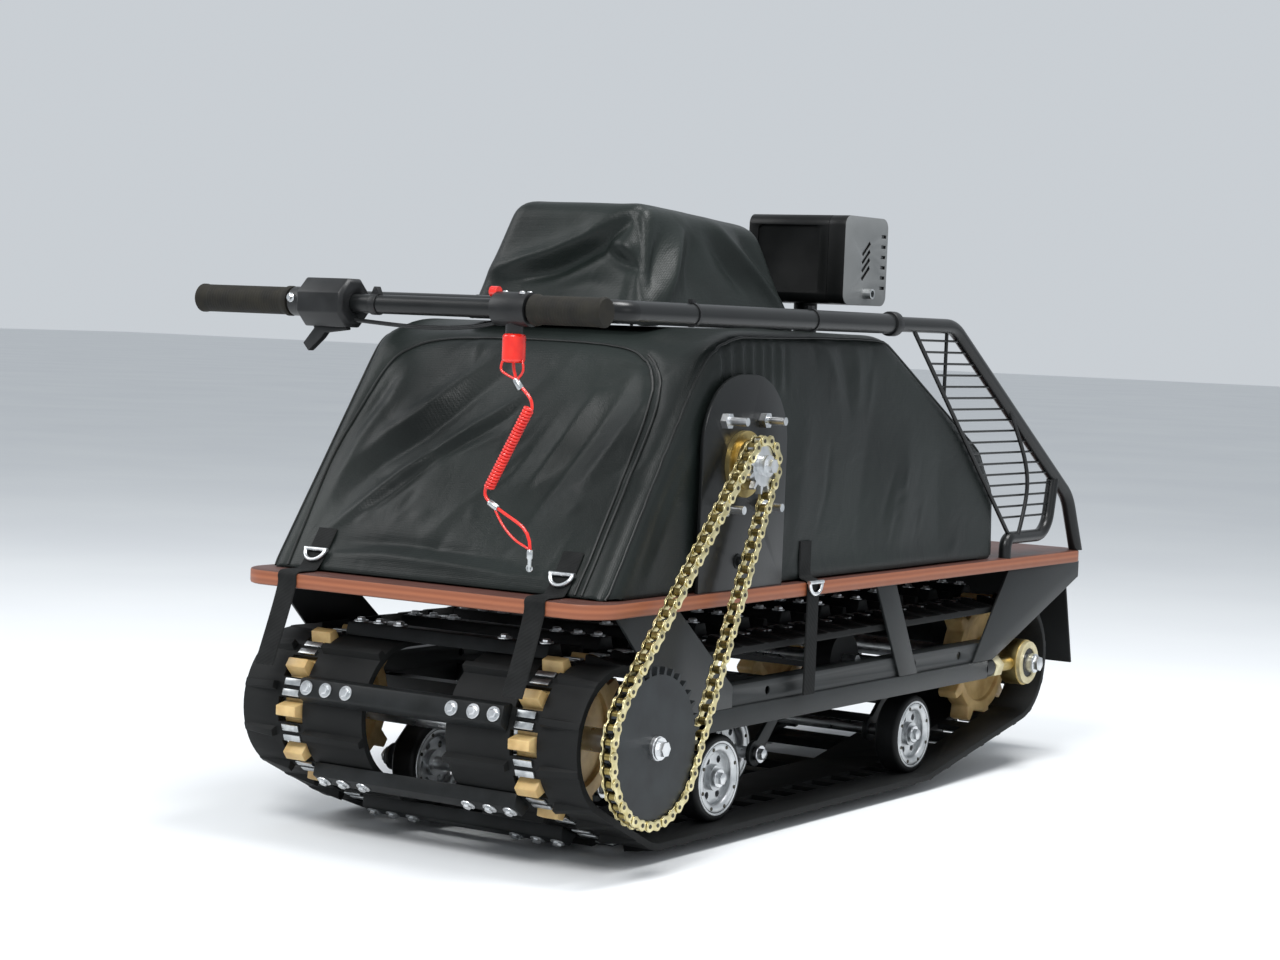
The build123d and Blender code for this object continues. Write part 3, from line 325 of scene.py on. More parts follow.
def bump(tree, shader, height, depth_mm, strength=1.0):
    """Surface relief of a real depth."""
    relief = add(tree, "ShaderNodeBump", {"Height": height, "Distance": depth_mm * MM, "Strength": strength})
    tree.links.new(relief.outputs["Normal"], shader.inputs["Normal"])


def make_speckled(name, low, high, patch, grain, depth, rough, **surface):
    """Shared build of the painted, cast, moulded and plated finishes: patchy colour over a fine grain."""
    material, tree, shader, place = start(name, **surface)
    patches = mottle(tree, shader, place, patch, low, high)
    rough_between(tree, shader, patches.outputs["Fac"], *rough)
    fine = add(tree, "ShaderNodeTexNoise", {"Vector": place, "Scale": per_mm(grain), "Detail": 2.0})
    bump(tree, shader, fine.outputs["Fac"], depth)
    return material


MATERIALS = {}
SLOTS = {part["node"]: part["material_slot"] for part in frame["record"]["subparts"]}
# how little light a dark, slightly porous surface throws back
DULL = {"Specular_IOR_Level": 0.2}
SATIN = {"Specular_IOR_Level": 0.32}
# bare metal, and metal under oil, dull plating, casting skin or an aluminised coat
BARE = {"Metallic": 1.0}
OILED = {"Metallic": 0.6}
CAST = {"Metallic": 0.4}
COATED = {"Metallic": 0.35}
WAXY = {"Subsurface_Weight": 0.05}
GLOSSY = {"Coat_Weight": 0.3}
# columns: slot, finish, darker colour, lighter colour, patch mm, grain mm, relief mm, roughness, surface
FINISHES = [
    # vulcanised rubber: matt, near black, dusted grey where it has run
    ("belt_rubber", "vulcanised_belt_rubber", "#0c0d0d", "#171818", 60, 2.5, 0.12, (0.55, 0.75), DULL),
    ("tyre_rubber", "moulded_tyre_rubber", "#0d0e0e", "#191a1b", 40, 2.0, 0.08, (0.45, 0.65), DULL),
    ("flap_rubber", "sheet_rubber", "#0f1010", "#1a1c1c", 80, 3.0, 0.10, (0.5, 0.68), DULL),
    # powder coat: fine orange peel, dark grey, a soft broad gloss
    ("frame_paint", "grey_powder_coat", "#181a1a", "#222526", 90, 3.5, 0.06, (0.36, 0.5), SATIN),
    ("tube_black", "satin_black_powder_coat", "#0b0c0d", "#141616", 90, 3.0, 0.05, (0.26, 0.38), SATIN),
    ("bar_steel", "black_oxide_bar", "#101212", "#1c1e1f", 30, 2.5, 0.08, (0.4, 0.56), DULL),
    # turned and plated metals: sharp highlights, cool or yellow by their plating
    ("bright_steel", "bright_zinc_steel", "#c2c5c7", "#e4e5e6", 18, 1.2, 0.02, (0.22, 0.38), BARE),
    ("hub_alloy", "die_cast_alloy", "#b0b3b5", "#d6d8d9", 22, 1.5, 0.04, (0.32, 0.5), BARE),
    ("clip_steel", "pressed_steel_clip", "#a3a7a9", "#cfd1d1", 12, 1.0, 0.02, (0.26, 0.42), BARE),
    ("yellow_zinc", "yellow_zinc_steel", "#a08b54", "#c6b37c", 20, 1.5, 0.03, (0.28, 0.44), BARE),
    ("cream_zinc", "dull_yellow_zinc", "#b9ad86", "#d9d0ae", 16, 1.2, 0.03, (0.36, 0.5), OILED),
    ("chain_gold", "pale_brass_chain", "#bbae7c", "#e3d9ae", 12, 1.0, 0.02, (0.24, 0.38), BARE),
    ("roller_brass", "oiled_brass_roller", "#6d6038", "#9a8a56", 8, 0.8, 0.02, (0.28, 0.42), BARE),
    ("pin_dark", "burnished_pin_steel", "#3c3a34", "#5a574e", 8, 0.8, 0.02, (0.3, 0.45), BARE),
    ("sprocket_steel", "oiled_black_steel", "#1d2022", "#2c3032", 30, 1.5, 0.03, (0.3, 0.48), OILED),
    # engine and exhaust: rough grey casting, soot-proof soft black, dull silver sheet
    ("engine_iron", "cast_iron", "#3d4042", "#55585a", 40, 2.5, 0.15, (0.5, 0.7), CAST),
    ("muffler_black", "heat_resistant_black_paint", "#060707", "#0d0e0e", 45, 2.0, 0.06, (0.3, 0.46), DULL),
    ("shield_grey", "aluminised_sheet_steel", "#6f7171", "#7b7d7d", 60, 1.8, 0.04, (0.4, 0.55), COATED),
    # cast nylon: tan, waxy, faintly scuffed
    ("nylon", "cast_nylon", "#a98a55", "#cdb07a", 25, 2.0, 0.05, (0.4, 0.55), WAXY),
    # mouldings: foam without gloss, plastic and piping with a soft one, vinyl that looks wet
    ("grip_rubber", "foam_grip_rubber", "#161512", "#23211b", 18, 0.9, 0.12, (0.6, 0.8), DULL),
    ("control_plastic", "glass_filled_nylon", "#0e0f10", "#1a1b1c", 20, 1.2, 0.05, (0.34, 0.5), SATIN),
    ("piping", "corded_piping", "#0b0d0c", "#161918", 20, 1.0, 0.05, (0.36, 0.5), SATIN),
    ("lanyard_red", "soft_red_vinyl", "#c4160f", "#e32a1a", 14, 1.2, 0.03, (0.24, 0.36), GLOSSY),
]


def make_coated_fabric():
    """Coated polyester cloth: near-black with a green cast, a fine weave, a faint sheen on its folds."""
    material, tree, shader, place = start("coated_polyester_cloth", Specular_IOR_Level=0.22)
    patches = mottle(tree, shader, place, 190, "#0f1312", "#191f1d", 4.0)
    rough_between(tree, shader, patches.outputs["Fac"], 0.34, 0.46)
    # the real thread spacing of 0.6 mm is too fine to show, so it is drawn at 2 mm
    threads = add(tree, "ShaderNodeTexVoronoi", {"Vector": place, "Scale": per_mm(2.0), "Randomness": 0.25})
    creases = add(tree, "ShaderNodeTexNoise",
                  {"Vector": place, "Scale": per_mm(48), "Detail": 6.0, "Distortion": 0.8})
    relief = add(tree, "ShaderNodeMath", {0: creases.outputs["Fac"], 1: 6.0}, operation="MULTIPLY")
    height = add(tree, "ShaderNodeMath", {0: relief.outputs[0], 1: threads.outputs["Distance"]},
                 operation="ADD")
    bump(tree, shader, height.outputs[0], 0.2)
    return material


HALF_WAVE = 0.16           # about pi / 20, at which each light or dark band of a wave has the size given


def make_plywood():
    """Film-faced birch plywood: red-brown resin film, lighter and darker plies along the cut edge."""
    material, tree, shader, place = start("film_faced_plywood")
    plies = add(tree, "ShaderNodeTexWave", {"Vector": place, "Scale": per_mm(3.6) * HALF_WAVE,
                                            "Distortion": 0.5, "Detail": 2.0, "Detail Scale": 0.4},
                bands_direction="Z")
    edge = add(tree, "ShaderNodeValToRGB", {"Fac": plies.outputs["Fac"]})
    ends = edge.color_ramp.elements
    ends[0].color, ends[1].color = linear("#854a2e"), linear("#965839")
    film = add(tree, "ShaderNodeTexNoise", {"Vector": place, "Scale": per_mm(30), "Detail": 4.0})
    face = add(tree, "ShaderNodeValToRGB", {"Fac": film.outputs["Fac"]})
    tops = face.color_ramp.elements
    tops[0].color, tops[1].color = linear("#331a14"), linear("#4c271d")
    normal = add(tree, "ShaderNodeNewGeometry").outputs["Normal"]
    rise = add(tree, "ShaderNodeSeparateXYZ", {"Vector": normal}).outputs["Z"]
    flat = add(tree, "ShaderNodeMath", {0: rise}, operation="ABSOLUTE")
    mix = add(tree, "ShaderNodeMix", {"Factor": flat.outputs[0]}, data_type="RGBA")
    tree.links.new(edge.outputs["Color"], mix.inputs["A"])
    tree.links.new(face.outputs["Color"], mix.inputs["B"])
    tree.links.new(mix.outputs["Result"], shader.inputs["Base Color"])
    rough_between(tree, shader, film.outputs["Fac"], 0.4, 0.6)
    bump(tree, shader, plies.outputs["Fac"], 0.12)
    return material


def make_webbing():
    """Woven polyester webbing: black, ribbed across its length, dull."""
    material, tree, shader, place = start("woven_polyester_webbing", Specular_IOR_Level=0.16)
    patches = mottle(tree, shader, place, 20, "#0d0e0e", "#191a1a")
    rough_between(tree, shader, patches.outputs["Fac"], 0.6, 0.78)
    # ribs of 1.2 mm drawn at 1.8 mm so that they show
    ribs = add(tree, "ShaderNodeTexWave",
               {"Vector": place, "Scale": per_mm(1.8) * HALF_WAVE, "Distortion": 0.4},
               bands_direction="DIAGONAL")
    bump(tree, shader, ribs.outputs["Fac"], 0.12)
    return material


def make_materials():
    for slot, name, low, high, patch, grain, depth, rough, surface in FINISHES:
        MATERIALS[slot] = make_speckled(name, low, high, patch, grain, depth, rough, **surface)
    MATERIALS["hood_fabric"] = make_coated_fabric()
    MATERIALS["plywood"] = make_plywood()
    MATERIALS["webbing"] = make_webbing()


def dress(node):
    """Gives a CAD node the material of its own slot."""
    mesh = NODES[node].data
    mesh.materials.clear()
    mesh.materials.append(MATERIALS[SLOTS[node]])


# Camera: found from the photograph's own perspective
VIEW_POINT = (-3.0855, -1.927, 0.630)
VIEW_YAW, VIEW_PITCH, VIEW_ROLL = 33.33, -3.33, -2.26
LENS = 75.75
SENSOR = 36.0


def make_camera():
    yaw, pitch, roll = (math.radians(a) for a in (VIEW_YAW, VIEW_PITCH, VIEW_ROLL))
    ahead = Vector((math.cos(yaw) * math.cos(pitch), math.sin(yaw) * math.cos(pitch), math.sin(pitch)))
    right = ahead.cross(Z).normalized()
    down = ahead.cross(right)
    turned_right = math.cos(roll) * right + math.sin(roll) * down
    turned_down = -math.sin(roll) * right + math.cos(roll) * down
    camera = bpy.data.objects.new("camera", bpy.data.cameras.new("camera"))
    camera.data.lens = LENS
    camera.data.sensor_width = SENSOR
    axes = Matrix((turned_right, -turned_down, -ahead)).transposed()
    camera.matrix_world = Matrix.Translation(VIEW_POINT) @ axes.to_4x4()
    bpy.context.scene.collection.objects.link(camera)
    bpy.context.scene.camera = camera


# columns: name, place in m, width in m, watts
LAMPS = [
    ("key", (-3.2, -0.8, 3.2), 1.3, 125.0),
    ("side", (-0.4, -3.4, 1.6), 1.2, 7.0),
    ("fill", (-1.6, 2.8, 2.4), 1.8, 40.0),
    ("top", (0.2, -1.1, 3.5), 1.3, 105.0),
]
FLOOR_REACH = 40.0
FLOOR_PATCH = 900          # mm over which the floor's shade drifts
SKY_STRENGTH = 0.72
AIM = Vector((0.0, 0.0, 0.35))


def make_stage():
    scene = bpy.context.scene
    scene.view_settings.view_transform = "Standard"
    mesh = bpy.data.meshes.new("floor")
    corners = [(FLOOR_REACH * a, FLOOR_REACH * b, 0) for a, b in ((-1, -1), (1, -1), (1, 1), (-1, 1))]
    mesh.from_pydata(corners, [], [(0, 1, 2, 3)])
    floor = bpy.data.objects.new("floor", mesh)
    scene.collection.objects.link(floor)
    material, tree, shader, place = start("pale_studio_floor", Roughness=0.9)
    mottle(tree, shader, place, FLOOR_PATCH, "#dbdddf", "#e0e2e3")
    mesh.materials.append(material)
    world = bpy.data.worlds.new("studio")
    world.use_nodes = True
    background = world.node_tree.nodes["Background"]
    background.inputs["Color"].default_value = linear("#e9eff5")
    background.inputs["Strength"].default_value = SKY_STRENGTH
    scene.world = world
    for name, place, size, power in LAMPS:
        lamp = bpy.data.lights.new(name, "AREA")
        lamp.size, lamp.energy = size, power
        holder = bpy.data.objects.new(name, lamp)
        holder.location = place
        holder.rotation_euler = (AIM - Vector(place)).to_track_quat("-Z", "Y").to_euler()
        scene.collection.objects.link(holder)


# Soft covers: an even net of quads over the sewn form, then folds pressed into it


def even_net(net, size):
    """The closed form as a mesh of even quads with edges of about size metres."""
    mesh = bpy.data.meshes.new("net")
    net.to_mesh(mesh)
    net.free()
    holder = bpy.data.objects.new("net", mesh)
    bpy.context.scene.collection.objects.link(holder)
    change = holder.modifiers.new("even", "REMESH")
    change.mode, change.voxel_size = "VOXEL", size
    even = bpy.data.meshes.new_from_object(holder.evaluated_get(bpy.context.evaluated_depsgraph_get()))
    bpy.data.objects.remove(holder)
    bpy.data.meshes.remove(mesh)
    return even


def coordinates(mesh, kind="vertices", field="co"):
    values = np.empty(len(mesh.vertices) * 3)
    getattr(mesh, kind).foreach_get(field, values)
    return values.reshape(-1, 3)


def gap_to(points, line):
    """Distance of every point from a line of runs, and how far along the line it is nearest, 0 to 1."""
    line = np.array(line)
    runs = np.diff(line, axis=0)
    lengths = np.linalg.norm(runs, axis=1)
    behind = np.concatenate(([0.0], np.cumsum(lengths)))
    gap, along = np.full(len(points), np.inf), np.zeros(len(points))
    for one, run, length, past in zip(line, runs, lengths, behind):
        share = np.clip((points - one) @ run / length ** 2, 0, 1)
        found = np.linalg.norm(points - (one + share[:, None] * run), axis=1)
        near = found < gap
        gap[near], along[near] = found[near], (past + share[near] * length) / behind[-1]
    return gap, along


FOLD_CREST = 1.4           # 2 gives a round fold, 1 a knife edge
FOLD_END = 0.06            # of half a wave, the height a fold still has at its ends
# short creases: spread of their lean in degrees, and the least and most of run, height and width in mm
CREASE_SPREAD = 24
CREASE_RUN = (24, 90)
CREASE_TALL = (0.5, 1.7)
CREASE_WIDE = (4.5, 9.0)
# times that the cloth is smoothed before its folds and after them
FIRST_RELAX, LAST_RELAX = 4, 1
HEM = 3.0                  # mm above its base, below which a cover's underside is cut away
UNDERSIDE = -0.4           # normal's z of a face that counts as underside


def crumples(seed, low, high, lean, count):
    """Rows of short creases strewn over a face between two corners, mostly leaning one way, in degrees."""
    chance = random.Random(seed)
    rows = []
    for _ in range(count):
        a, b = chance.uniform(low[0], high[0]), chance.uniform(low[1], high[1])
        turn = math.radians(chance.gauss(lean, CREASE_SPREAD))
        run = chance.uniform(*CREASE_RUN)
        tall = chance.uniform(*CREASE_TALL) * chance.choice(SIDES)
        far = (a + run * math.cos(turn), b + run * math.sin(turn))
        rows.append((chance.uniform(*CREASE_WIDE), tall, [(a, b), far]))
    return rows


def press(mesh, folds, seams, depth, width):
    """Moves the cloth along its normals: folds fade to their ends, seams are even valleys."""
    points, normals = coordinates(mesh), coordinates(mesh, "vertex_normals", "vector")
    height = np.zeros(len(points))
    for wide, tall, line in folds:
        gap, along = gap_to(points, line)
        fade = np.sin(np.pi * (FOLD_END + (1 - 2 * FOLD_END) * along))
        height += tall * fade * np.exp(-(gap / (wide * MM)) ** FOLD_CREST)
    for line in seams:
        height -= depth * np.exp(-(gap_to(points, line)[0] / (width * MM)) ** 2)
    moved = points + normals * height[:, None] * MM
    mesh.vertices.foreach_set("co", moved.ravel())
    mesh.update()


def relax(mesh, rounds):
    net = bmesh.new()
    net.from_mesh(mesh)
    for _ in range(rounds):
        bmesh.ops.smooth_vert(net, verts=net.verts[:], factor=0.5, use_axis_x=True, use_axis_y=True,
                              use_axis_z=True)
    net.to_mesh(mesh)
    net.free()
    mesh.update()


def open_below(mesh, level):
    """Cuts away the faces that lie on what the cover stands on, and leaves one layer of cloth."""
    net = bmesh.new()
    net.from_mesh(mesh)
    under = [f for f in net.faces if f.normal.z < UNDERSIDE and f.calc_center_median().z < level]
    bmesh.ops.delete(net, geom=under, context="FACES")
    for face in net.faces:
        face.smooth = True
    net.to_mesh(mesh)
    net.free()


def on_cloth(tree, points, lift):
    """Points dropped on the cloth and lifted off it."""
    found = [tree.find_nearest(p) for p in points]
    return [place + normal * lift * MM for place, normal, _, _ in found]


DECK_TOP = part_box("deck")[1][2] / MM
HOOD_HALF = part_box("hood")[1][1] / MM
HOOD_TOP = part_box("hood")[1][2] / MM
# side outline of the hood: mm ahead of the drive shaft, mm above the deck
HOOD_OUTLINE = [(-48, 0), (150, 290), (215, 310), (590, 310), (886, 158), (934, 96), (938, 0)]
HOOD_EDGE = 22.0
HOOD_SEAM = 7.0            # width of a seam's valley
SLOPE = Vector((HOOD_OUTLINE[1][0] - HOOD_OUTLINE[0][0], 0, HOOD_OUTLINE[1][1])).normalized()


def rear_spot(y, up):
    """On the hood's rear face: mm across, mm up the slope."""
    return spot(HOOD_OUTLINE[0][0], y, DECK_TOP) + SLOPE * up * MM


def front_spot(x, y):
    """On the hood's front slope: mm ahead of the drive shaft, mm across."""
    (x0, up0), (x1, up1) = HOOD_OUTLINE[3:5]
    return spot(x, y, DECK_TOP + up0 + (x - x0) * (up1 - up0) / (x1 - x0))


def side_spot(x, up, side):
    return spot(x, side * HOOD_HALF, DECK_TOP + up)


# folds of the rear face, columns: width, height, line of (y, up)
REAR_FOLDS = [
    # the two tension folds from the far strap up to the middle, with their valleys
    (9, 8.0, [(192, 48), (155, 92), (112, 144), (62, 191), (-7, 253), (-40, 290)]),
    (9, -8.0, [(150, 78), (108, 128), (75, 172), (28, 208), (-14, 240)]),
    (14, 6.5, [(196, 150), (159, 203), (120, 236), (80, 287), (37, 335)]),
    (15, -8.0, [(180, 110), (148, 161), (104, 203), (64, 253), (18, 305)]),
    # the broad hollow beside the zip
    (28, -12.0, [(-165, 325), (-142, 257), (-121, 189), (-104, 122), (-96, 80)]),
    (14, 5.0, [(-190, 270), (-172, 210), (-150, 140)]),
    (13, 6.0, [(-120, 290), (-100, 220), (-78, 130)]),
    # slack along the hem and the seams
    (11, 6.0, [(190, 24), (82, 30), (-16, 27), (-120, 20), (-190, 24)]),
    (10, -5.0, [(170, 44), (60, 50), (-100, 42)]),
    (12, 4.5, [(205, 90), (196, 190), (170, 300)]),
    (10, -4.0, [(210, 200), (190, 290)]),
    (8, 4.0, [(-206, 60), (-212, 150), (-204, 230)]),
    (12, 3.5, [(40, 60), (-20, 130), (-60, 200)]),
    (12, -3.5, [(10, 90), (-50, 160), (-80, 250)]),
]
# folds of the sides, columns: width, height, line of (x, up)
SIDE_FOLDS = [
    (16, 3.5, [(414, 300), (440, 270), (470, 225)]), (14, 3.0, [(498, 302), (508, 268), (515, 215)]),
    (16, -3.0, [(450, 302), (478, 262), (500, 200)]), (40, 4.0, [(360, 20), (385, 240)]),
    (45, -4.0, [(520, 30), (560, 230)]), (40, 4.0, [(640, 20), (660, 190)]),
    (36, -3.5, [(760, 15), (750, 170)]),
    (10, 3.5, [(330, 12), (600, 13), (880, 12)]), (14, 3.0, [(30, 20), (90, 130), (140, 190)]),
    (12, -3.0, [(10, 15), (70, 120), (110, 170)]),
]
# gathers under the top seam of each side
GATHERS = (166, 178, 189, 203, 217, 229, 240, 252, 264, 274, 285, 297, 309, 322)
PLEAT_WIDE = 5.0
PLEAT_TALL = (3.2, -2.6)   # ridges and valleys by turns
# a pleat's line, columns: mm ahead of its gather, up
PLEAT = [(0, 304), (3, 275), (7, 236)]
PLEATS = [(PLEAT_WIDE, PLEAT_TALL[k % 2], [(x + ahead, up) for ahead, up in PLEAT])
          for k, x in enumerate(GATHERS)]
# folds of the top, columns: width, height, line of (x, y)
TOP_FOLDS = [
    (20, 3.0, [(240, -190), (560, -120)]),
    (18, -3.0, [(260, 200), (540, 150)]),
    (20, 3.0, [(560, -180), (600, 180)]),
]
# folds of the front slope, columns: width, height, line of (x, y)
FRONT_FOLDS = [
    (14, 4.0, [(622, -205), (760, -120), (862, -60)]),
    (16, -4.5, [(612, 185), (740, 120), (850, 90)]),
    (18, 4.0, [(640, -40), (780, 30), (880, 62)]),
    (13, -3.5, [(690, -170), (800, -150), (880, -190)]),
    (13, 3.5, [(850, -222), (872, 0), (850, 222)]),
    (15, 3.5, [(640, 210), (780, 190), (860, 214)]),
]
# strewn creases, columns: low corner, high corner, lean in degrees, how many; their seeds are apart
REAR_CREASES = ((-205, 15), (200, 325), 128, 50)
SIDE_CREASES = ((20, 10), (860, 270), 68, 22)
FRONT_CREASES = ((610, -220), (870, 220), 20, 24)
REAR_SEED, SIDE_SEED, FRONT_SEED = 3, 6, 11
# seams: the rear panel and its zip in (y, up), the sides' panels in (x, up)
REAR_PANEL = [(221, 6), (226, 80), (230, 160), (223, 226), (210, 300), (186, 330), (138, 349), (59, 356),
              (-37, 356), (-115, 350), (-161, 334), (-187, 305), (-199, 264), (-204, 199), (-206, 134),
              (-204, 6)]
REAR_ZIP = [(-166, 338), (-184, 322), (-200, 298), (-211, 257), (-214, 195), (-215, 143), (-214, 87),
            (-213, 6)]
SIDE_PANEL = [(-46, 4), (40, 134), (100, 222), (128, 258), (160, 286), (205, 303), (292, 308), (585, 308),
              (700, 252), (882, 158), (930, 96), (934, 4)]
PIPING_SUNK = 0.4          # of its radius, the piping's middle above the cloth


class TugFabricSizes(bpy.types.PropertyGroup):
    """Sizes of the sewn covers"""
    grain: bpy.props.FloatProperty(
        name="Net", description="Edge of the cloth's quads", default=0.004, unit="LENGTH")
    piping: bpy.props.FloatProperty(
        name="Piping", description="Piping's radius", default=0.0016, unit="LENGTH")
    seam: bpy.props.FloatProperty(
        name="Seam", description="How deep a seam draws in", default=0.0020, unit="LENGTH")


def lay_piping(net, tree, lines, radius):
    for line in lines:
        swept(net, on_cloth(tree, eased(line, 10), radius * PIPING_SUNK), radius, 8)


class TUG_OT_hood(bpy.types.Operator):
    """Sews the fabric hood: an open shell with tension folds, pleats, piping and a zip"""
    bl_idname = "tug.hood"
    bl_label = "Hood"

    def execute(self, context):
        sizes = context.scene.tug_fabric
        net = bmesh.new()
        outline = [(x + DRIVE_X / MM, DECK_TOP + up) for x, up in HOOD_OUTLINE]
        prism(net, outline, Vector((0, HOOD_HALF * MM, 0)), X, Z, 2 * HOOD_HALF)
        bmesh.ops.recalc_face_normals(net, faces=net.faces[:])
        standing = [e for e in net.edges if sum(v.co.z for v in e.verts) > 2 * (DECK_TOP + 1) * MM]
        bmesh.ops.bevel(net, geom=standing, offset=HOOD_EDGE * MM, segments=6, profile=0.5, affect="EDGES")
        mesh = even_net(net, sizes.grain)
        relax(mesh, FIRST_RELAX)
        rear = REAR_FOLDS + crumples(REAR_SEED, *REAR_CREASES)
        folds = [(wide, tall, [rear_spot(*p) for p in line]) for wide, tall, line in rear]
        for side in SIDES:
            rows = SIDE_FOLDS + PLEATS + crumples(side + SIDE_SEED, *SIDE_CREASES)
            folds += [(wide, tall, [side_spot(*p, side) for p in line]) for wide, tall, line in rows]
        folds += [(wide, tall, [spot(*p, HOOD_TOP) for p in line]) for wide, tall, line in TOP_FOLDS]
        front = FRONT_FOLDS + crumples(FRONT_SEED, *FRONT_CREASES)
        folds += [(wide, tall, [front_spot(*p) for p in line]) for wide, tall, line in front]
        seams = [[rear_spot(y, up) for y, up in REAR_PANEL], [rear_spot(y, up) for y, up in REAR_ZIP]]
        seams += [[side_spot(x, up, side) for x, up in SIDE_PANEL] for side in SIDES]
        press(mesh, folds, seams, sizes.seam / MM, HOOD_SEAM)
        relax(mesh, LAST_RELAX)
        open_below(mesh, (DECK_TOP + HEM) * MM)
        hood = settle(mesh, "fabric_hood", "hood_fabric", stands_for=["hood"])
        tree = BVHTree.FromObject(hood, context.evaluated_depsgraph_get())
        net = bmesh.new()
        lay_piping(net, tree, seams, sizes.piping / MM)
        trim = piece(net, "hood_piping", "piping")
        return {"FINISHED"}


COVER_X = (182.0, 545.0)
COVER_HALF = 142.0
COVER_INSET = 43.0
COVER_TOP = (780.0, 762.0)
COVER_EDGE = 20.0
COVER_SEAM_WIDE = 6.0
# folds of the cover, columns: width, height, line of (x, y, z)
COVER_FOLDS = [
    # the swag from the near rear corner down across the rear face, and the hollow beneath it
    (12, 12.5, [(219, -66, 766), (216, -48, 752), (212, -23, 733), (207, 22, 714), (202, 86, 696),
                (198, 120, 690)]),
    (11, -18.5, [(222, -90, 764), (216, -69, 744), (211, -45, 724), (207, -11, 709), (203, 22, 694),
                 (198, 82, 676)]),
    (34, -15.0, [(202, -90, 672), (198, -30, 680), (194, 60, 662)]),
    # the puff beside the corner and the crease down the corner
    (15, 10.0, [(213, -56, 732), (206, -104, 716)]),
    (9, -10.0, [(209, -52, 718), (205, -87, 703), (202, -114, 695)]),
    (6, -9.0, [(222, -94, 758), (210, -106, 725), (200, -122, 690), (192, -136, 655)]),
    # the two ridges of the near side with their hollows
    (17, 14.0, [(305, -106, 750), (273, -116, 714), (234, -131, 666), (222, -136, 645)]),
    (11, -10.0, [(252, -109, 742), (226, -121, 699), (203, -132, 665)]),
    (22, -9.0, [(332, -108, 744), (308, -118, 708), (284, -132, 662)]),
    (12, 12.0, [(386, -103, 758), (439, -116, 714), (496, -130, 670), (520, -137, 648)]),
    (16, -9.0, [(362, -108, 746), (397, -118, 709), (440, -130, 668)]),
    (12, -7.0, [(440, -106, 748), (490, -120, 700), (520, -130, 670)]),
    # top, hems, far side and front
    (20, -5.0, [(240, -66, 780), (320, 4, 776), (440, 30, 769)]),
    (18, 4.5, [(250, 76, 779), (360, 62, 774), (480, 20, 767)]),
    (14, 4.0, [(330, -70, 775), (420, -30, 770), (486, -52, 766)]),
    (8, 4.0, [(200, -140, 634), (530, -140, 634)]), (8, 4.0, [(184, 130, 634), (184, -130, 634)]),
    (15, 8.0, [(330, 102, 752), (290, 136, 640)]), (15, -7.0, [(400, 102, 752), (480, 138, 640)]),
    (14, 6.0, [(500, -40, 752), (540, 20, 650)]), (14, -6.0, [(500, 30, 752), (540, -30, 650)]),
]
COVER_SEAM = [(188, -100, 640), (205, -101, 700), (226, -90, 768), (260, -92, 780), (400, -94, 771),
              (490, -92, 763), (515, -104, 700), (536, -110, 640)]


class TUG_OT_top_cover(bpy.types.Operator):
    """Sews the tapered cover on the hood, with its drawn-in top and soft creases"""
    bl_idname = "tug.top_cover"
    bl_label = "Top cover"

    def execute(self, context):
        sizes = context.scene.tug_fabric
        net = bmesh.new()
        x0, x1 = COVER_X
        low = [(x0, -COVER_HALF), (x1, -COVER_HALF), (x1, COVER_HALF), (x0, COVER_HALF)]
        floor = [net.verts.new(spot(x, y, HOOD_TOP)) for x, y in low]
        half = COVER_HALF - COVER_INSET
        tops = [(x0 + COVER_INSET, -half, 0), (x1 - COVER_INSET, -half, 1), (x1 - COVER_INSET, half, 1),
                (x0 + COVER_INSET, half, 0)]
        roof = [net.verts.new(spot(x, y, COVER_TOP[end])) for x, y, end in tops]
        bridge(net, floor, roof)
        net.faces.new(floor)
        net.faces.new(roof)
        bmesh.ops.recalc_face_normals(net, faces=net.faces[:])
        standing = [e for e in net.edges if max(v.co.z for v in e.verts) > (HOOD_TOP + 1) * MM]
        bmesh.ops.bevel(net, geom=standing, offset=COVER_EDGE * MM, segments=5, profile=0.5, affect="EDGES")
        mesh = even_net(net, sizes.grain)
        relax(mesh, FIRST_RELAX)
        folds = [(wide, tall, [spot(*p) for p in line]) for wide, tall, line in COVER_FOLDS]
        seam = [spot(*p) for p in COVER_SEAM]
        press(mesh, folds, [seam], sizes.seam / MM, COVER_SEAM_WIDE)
        relax(mesh, LAST_RELAX)
        open_below(mesh, (HOOD_TOP + HEM) * MM)
        cover = settle(mesh, "fabric_top_cover", "hood_fabric", stands_for=["top_cover"])
        return {"FINISHED"}


# Loops of track and chain


def loop_runs(circles):
    """Straight runs and arcs of a belt round circles (x, z, radius), under them first, in metres."""
    contacts = []
    for (ax, az, ar), (bx, bz, br) in zip(circles, circles[1:] + circles[:1]):
        run = Vector((bx - ax, bz - az))
        along, lean = run.normalized(), (ar - br) / run.length
        out = along * lean + Vector((along.y, -along.x)) * math.sqrt(1 - lean * lean)
        contacts.append((Vector((ax, az)) + out * ar, Vector((bx, bz)) + out * br, out))
    runs = []
    for k, (one, two, out) in enumerate(contacts):
        x, z, radius = circles[(k + 1) % len(circles)]
        onward = contacts[(k + 1) % len(contacts)][2]
        begin = math.atan2(out.y, out.x)
        sweep = (math.atan2(onward.y, onward.x) - begin) % math.tau
        runs.append(("straight", (two - one).length, one, (two - one).normalized(), out))
        runs.append(("arc", radius * sweep, Vector((x, z)), radius, begin))
    return runs


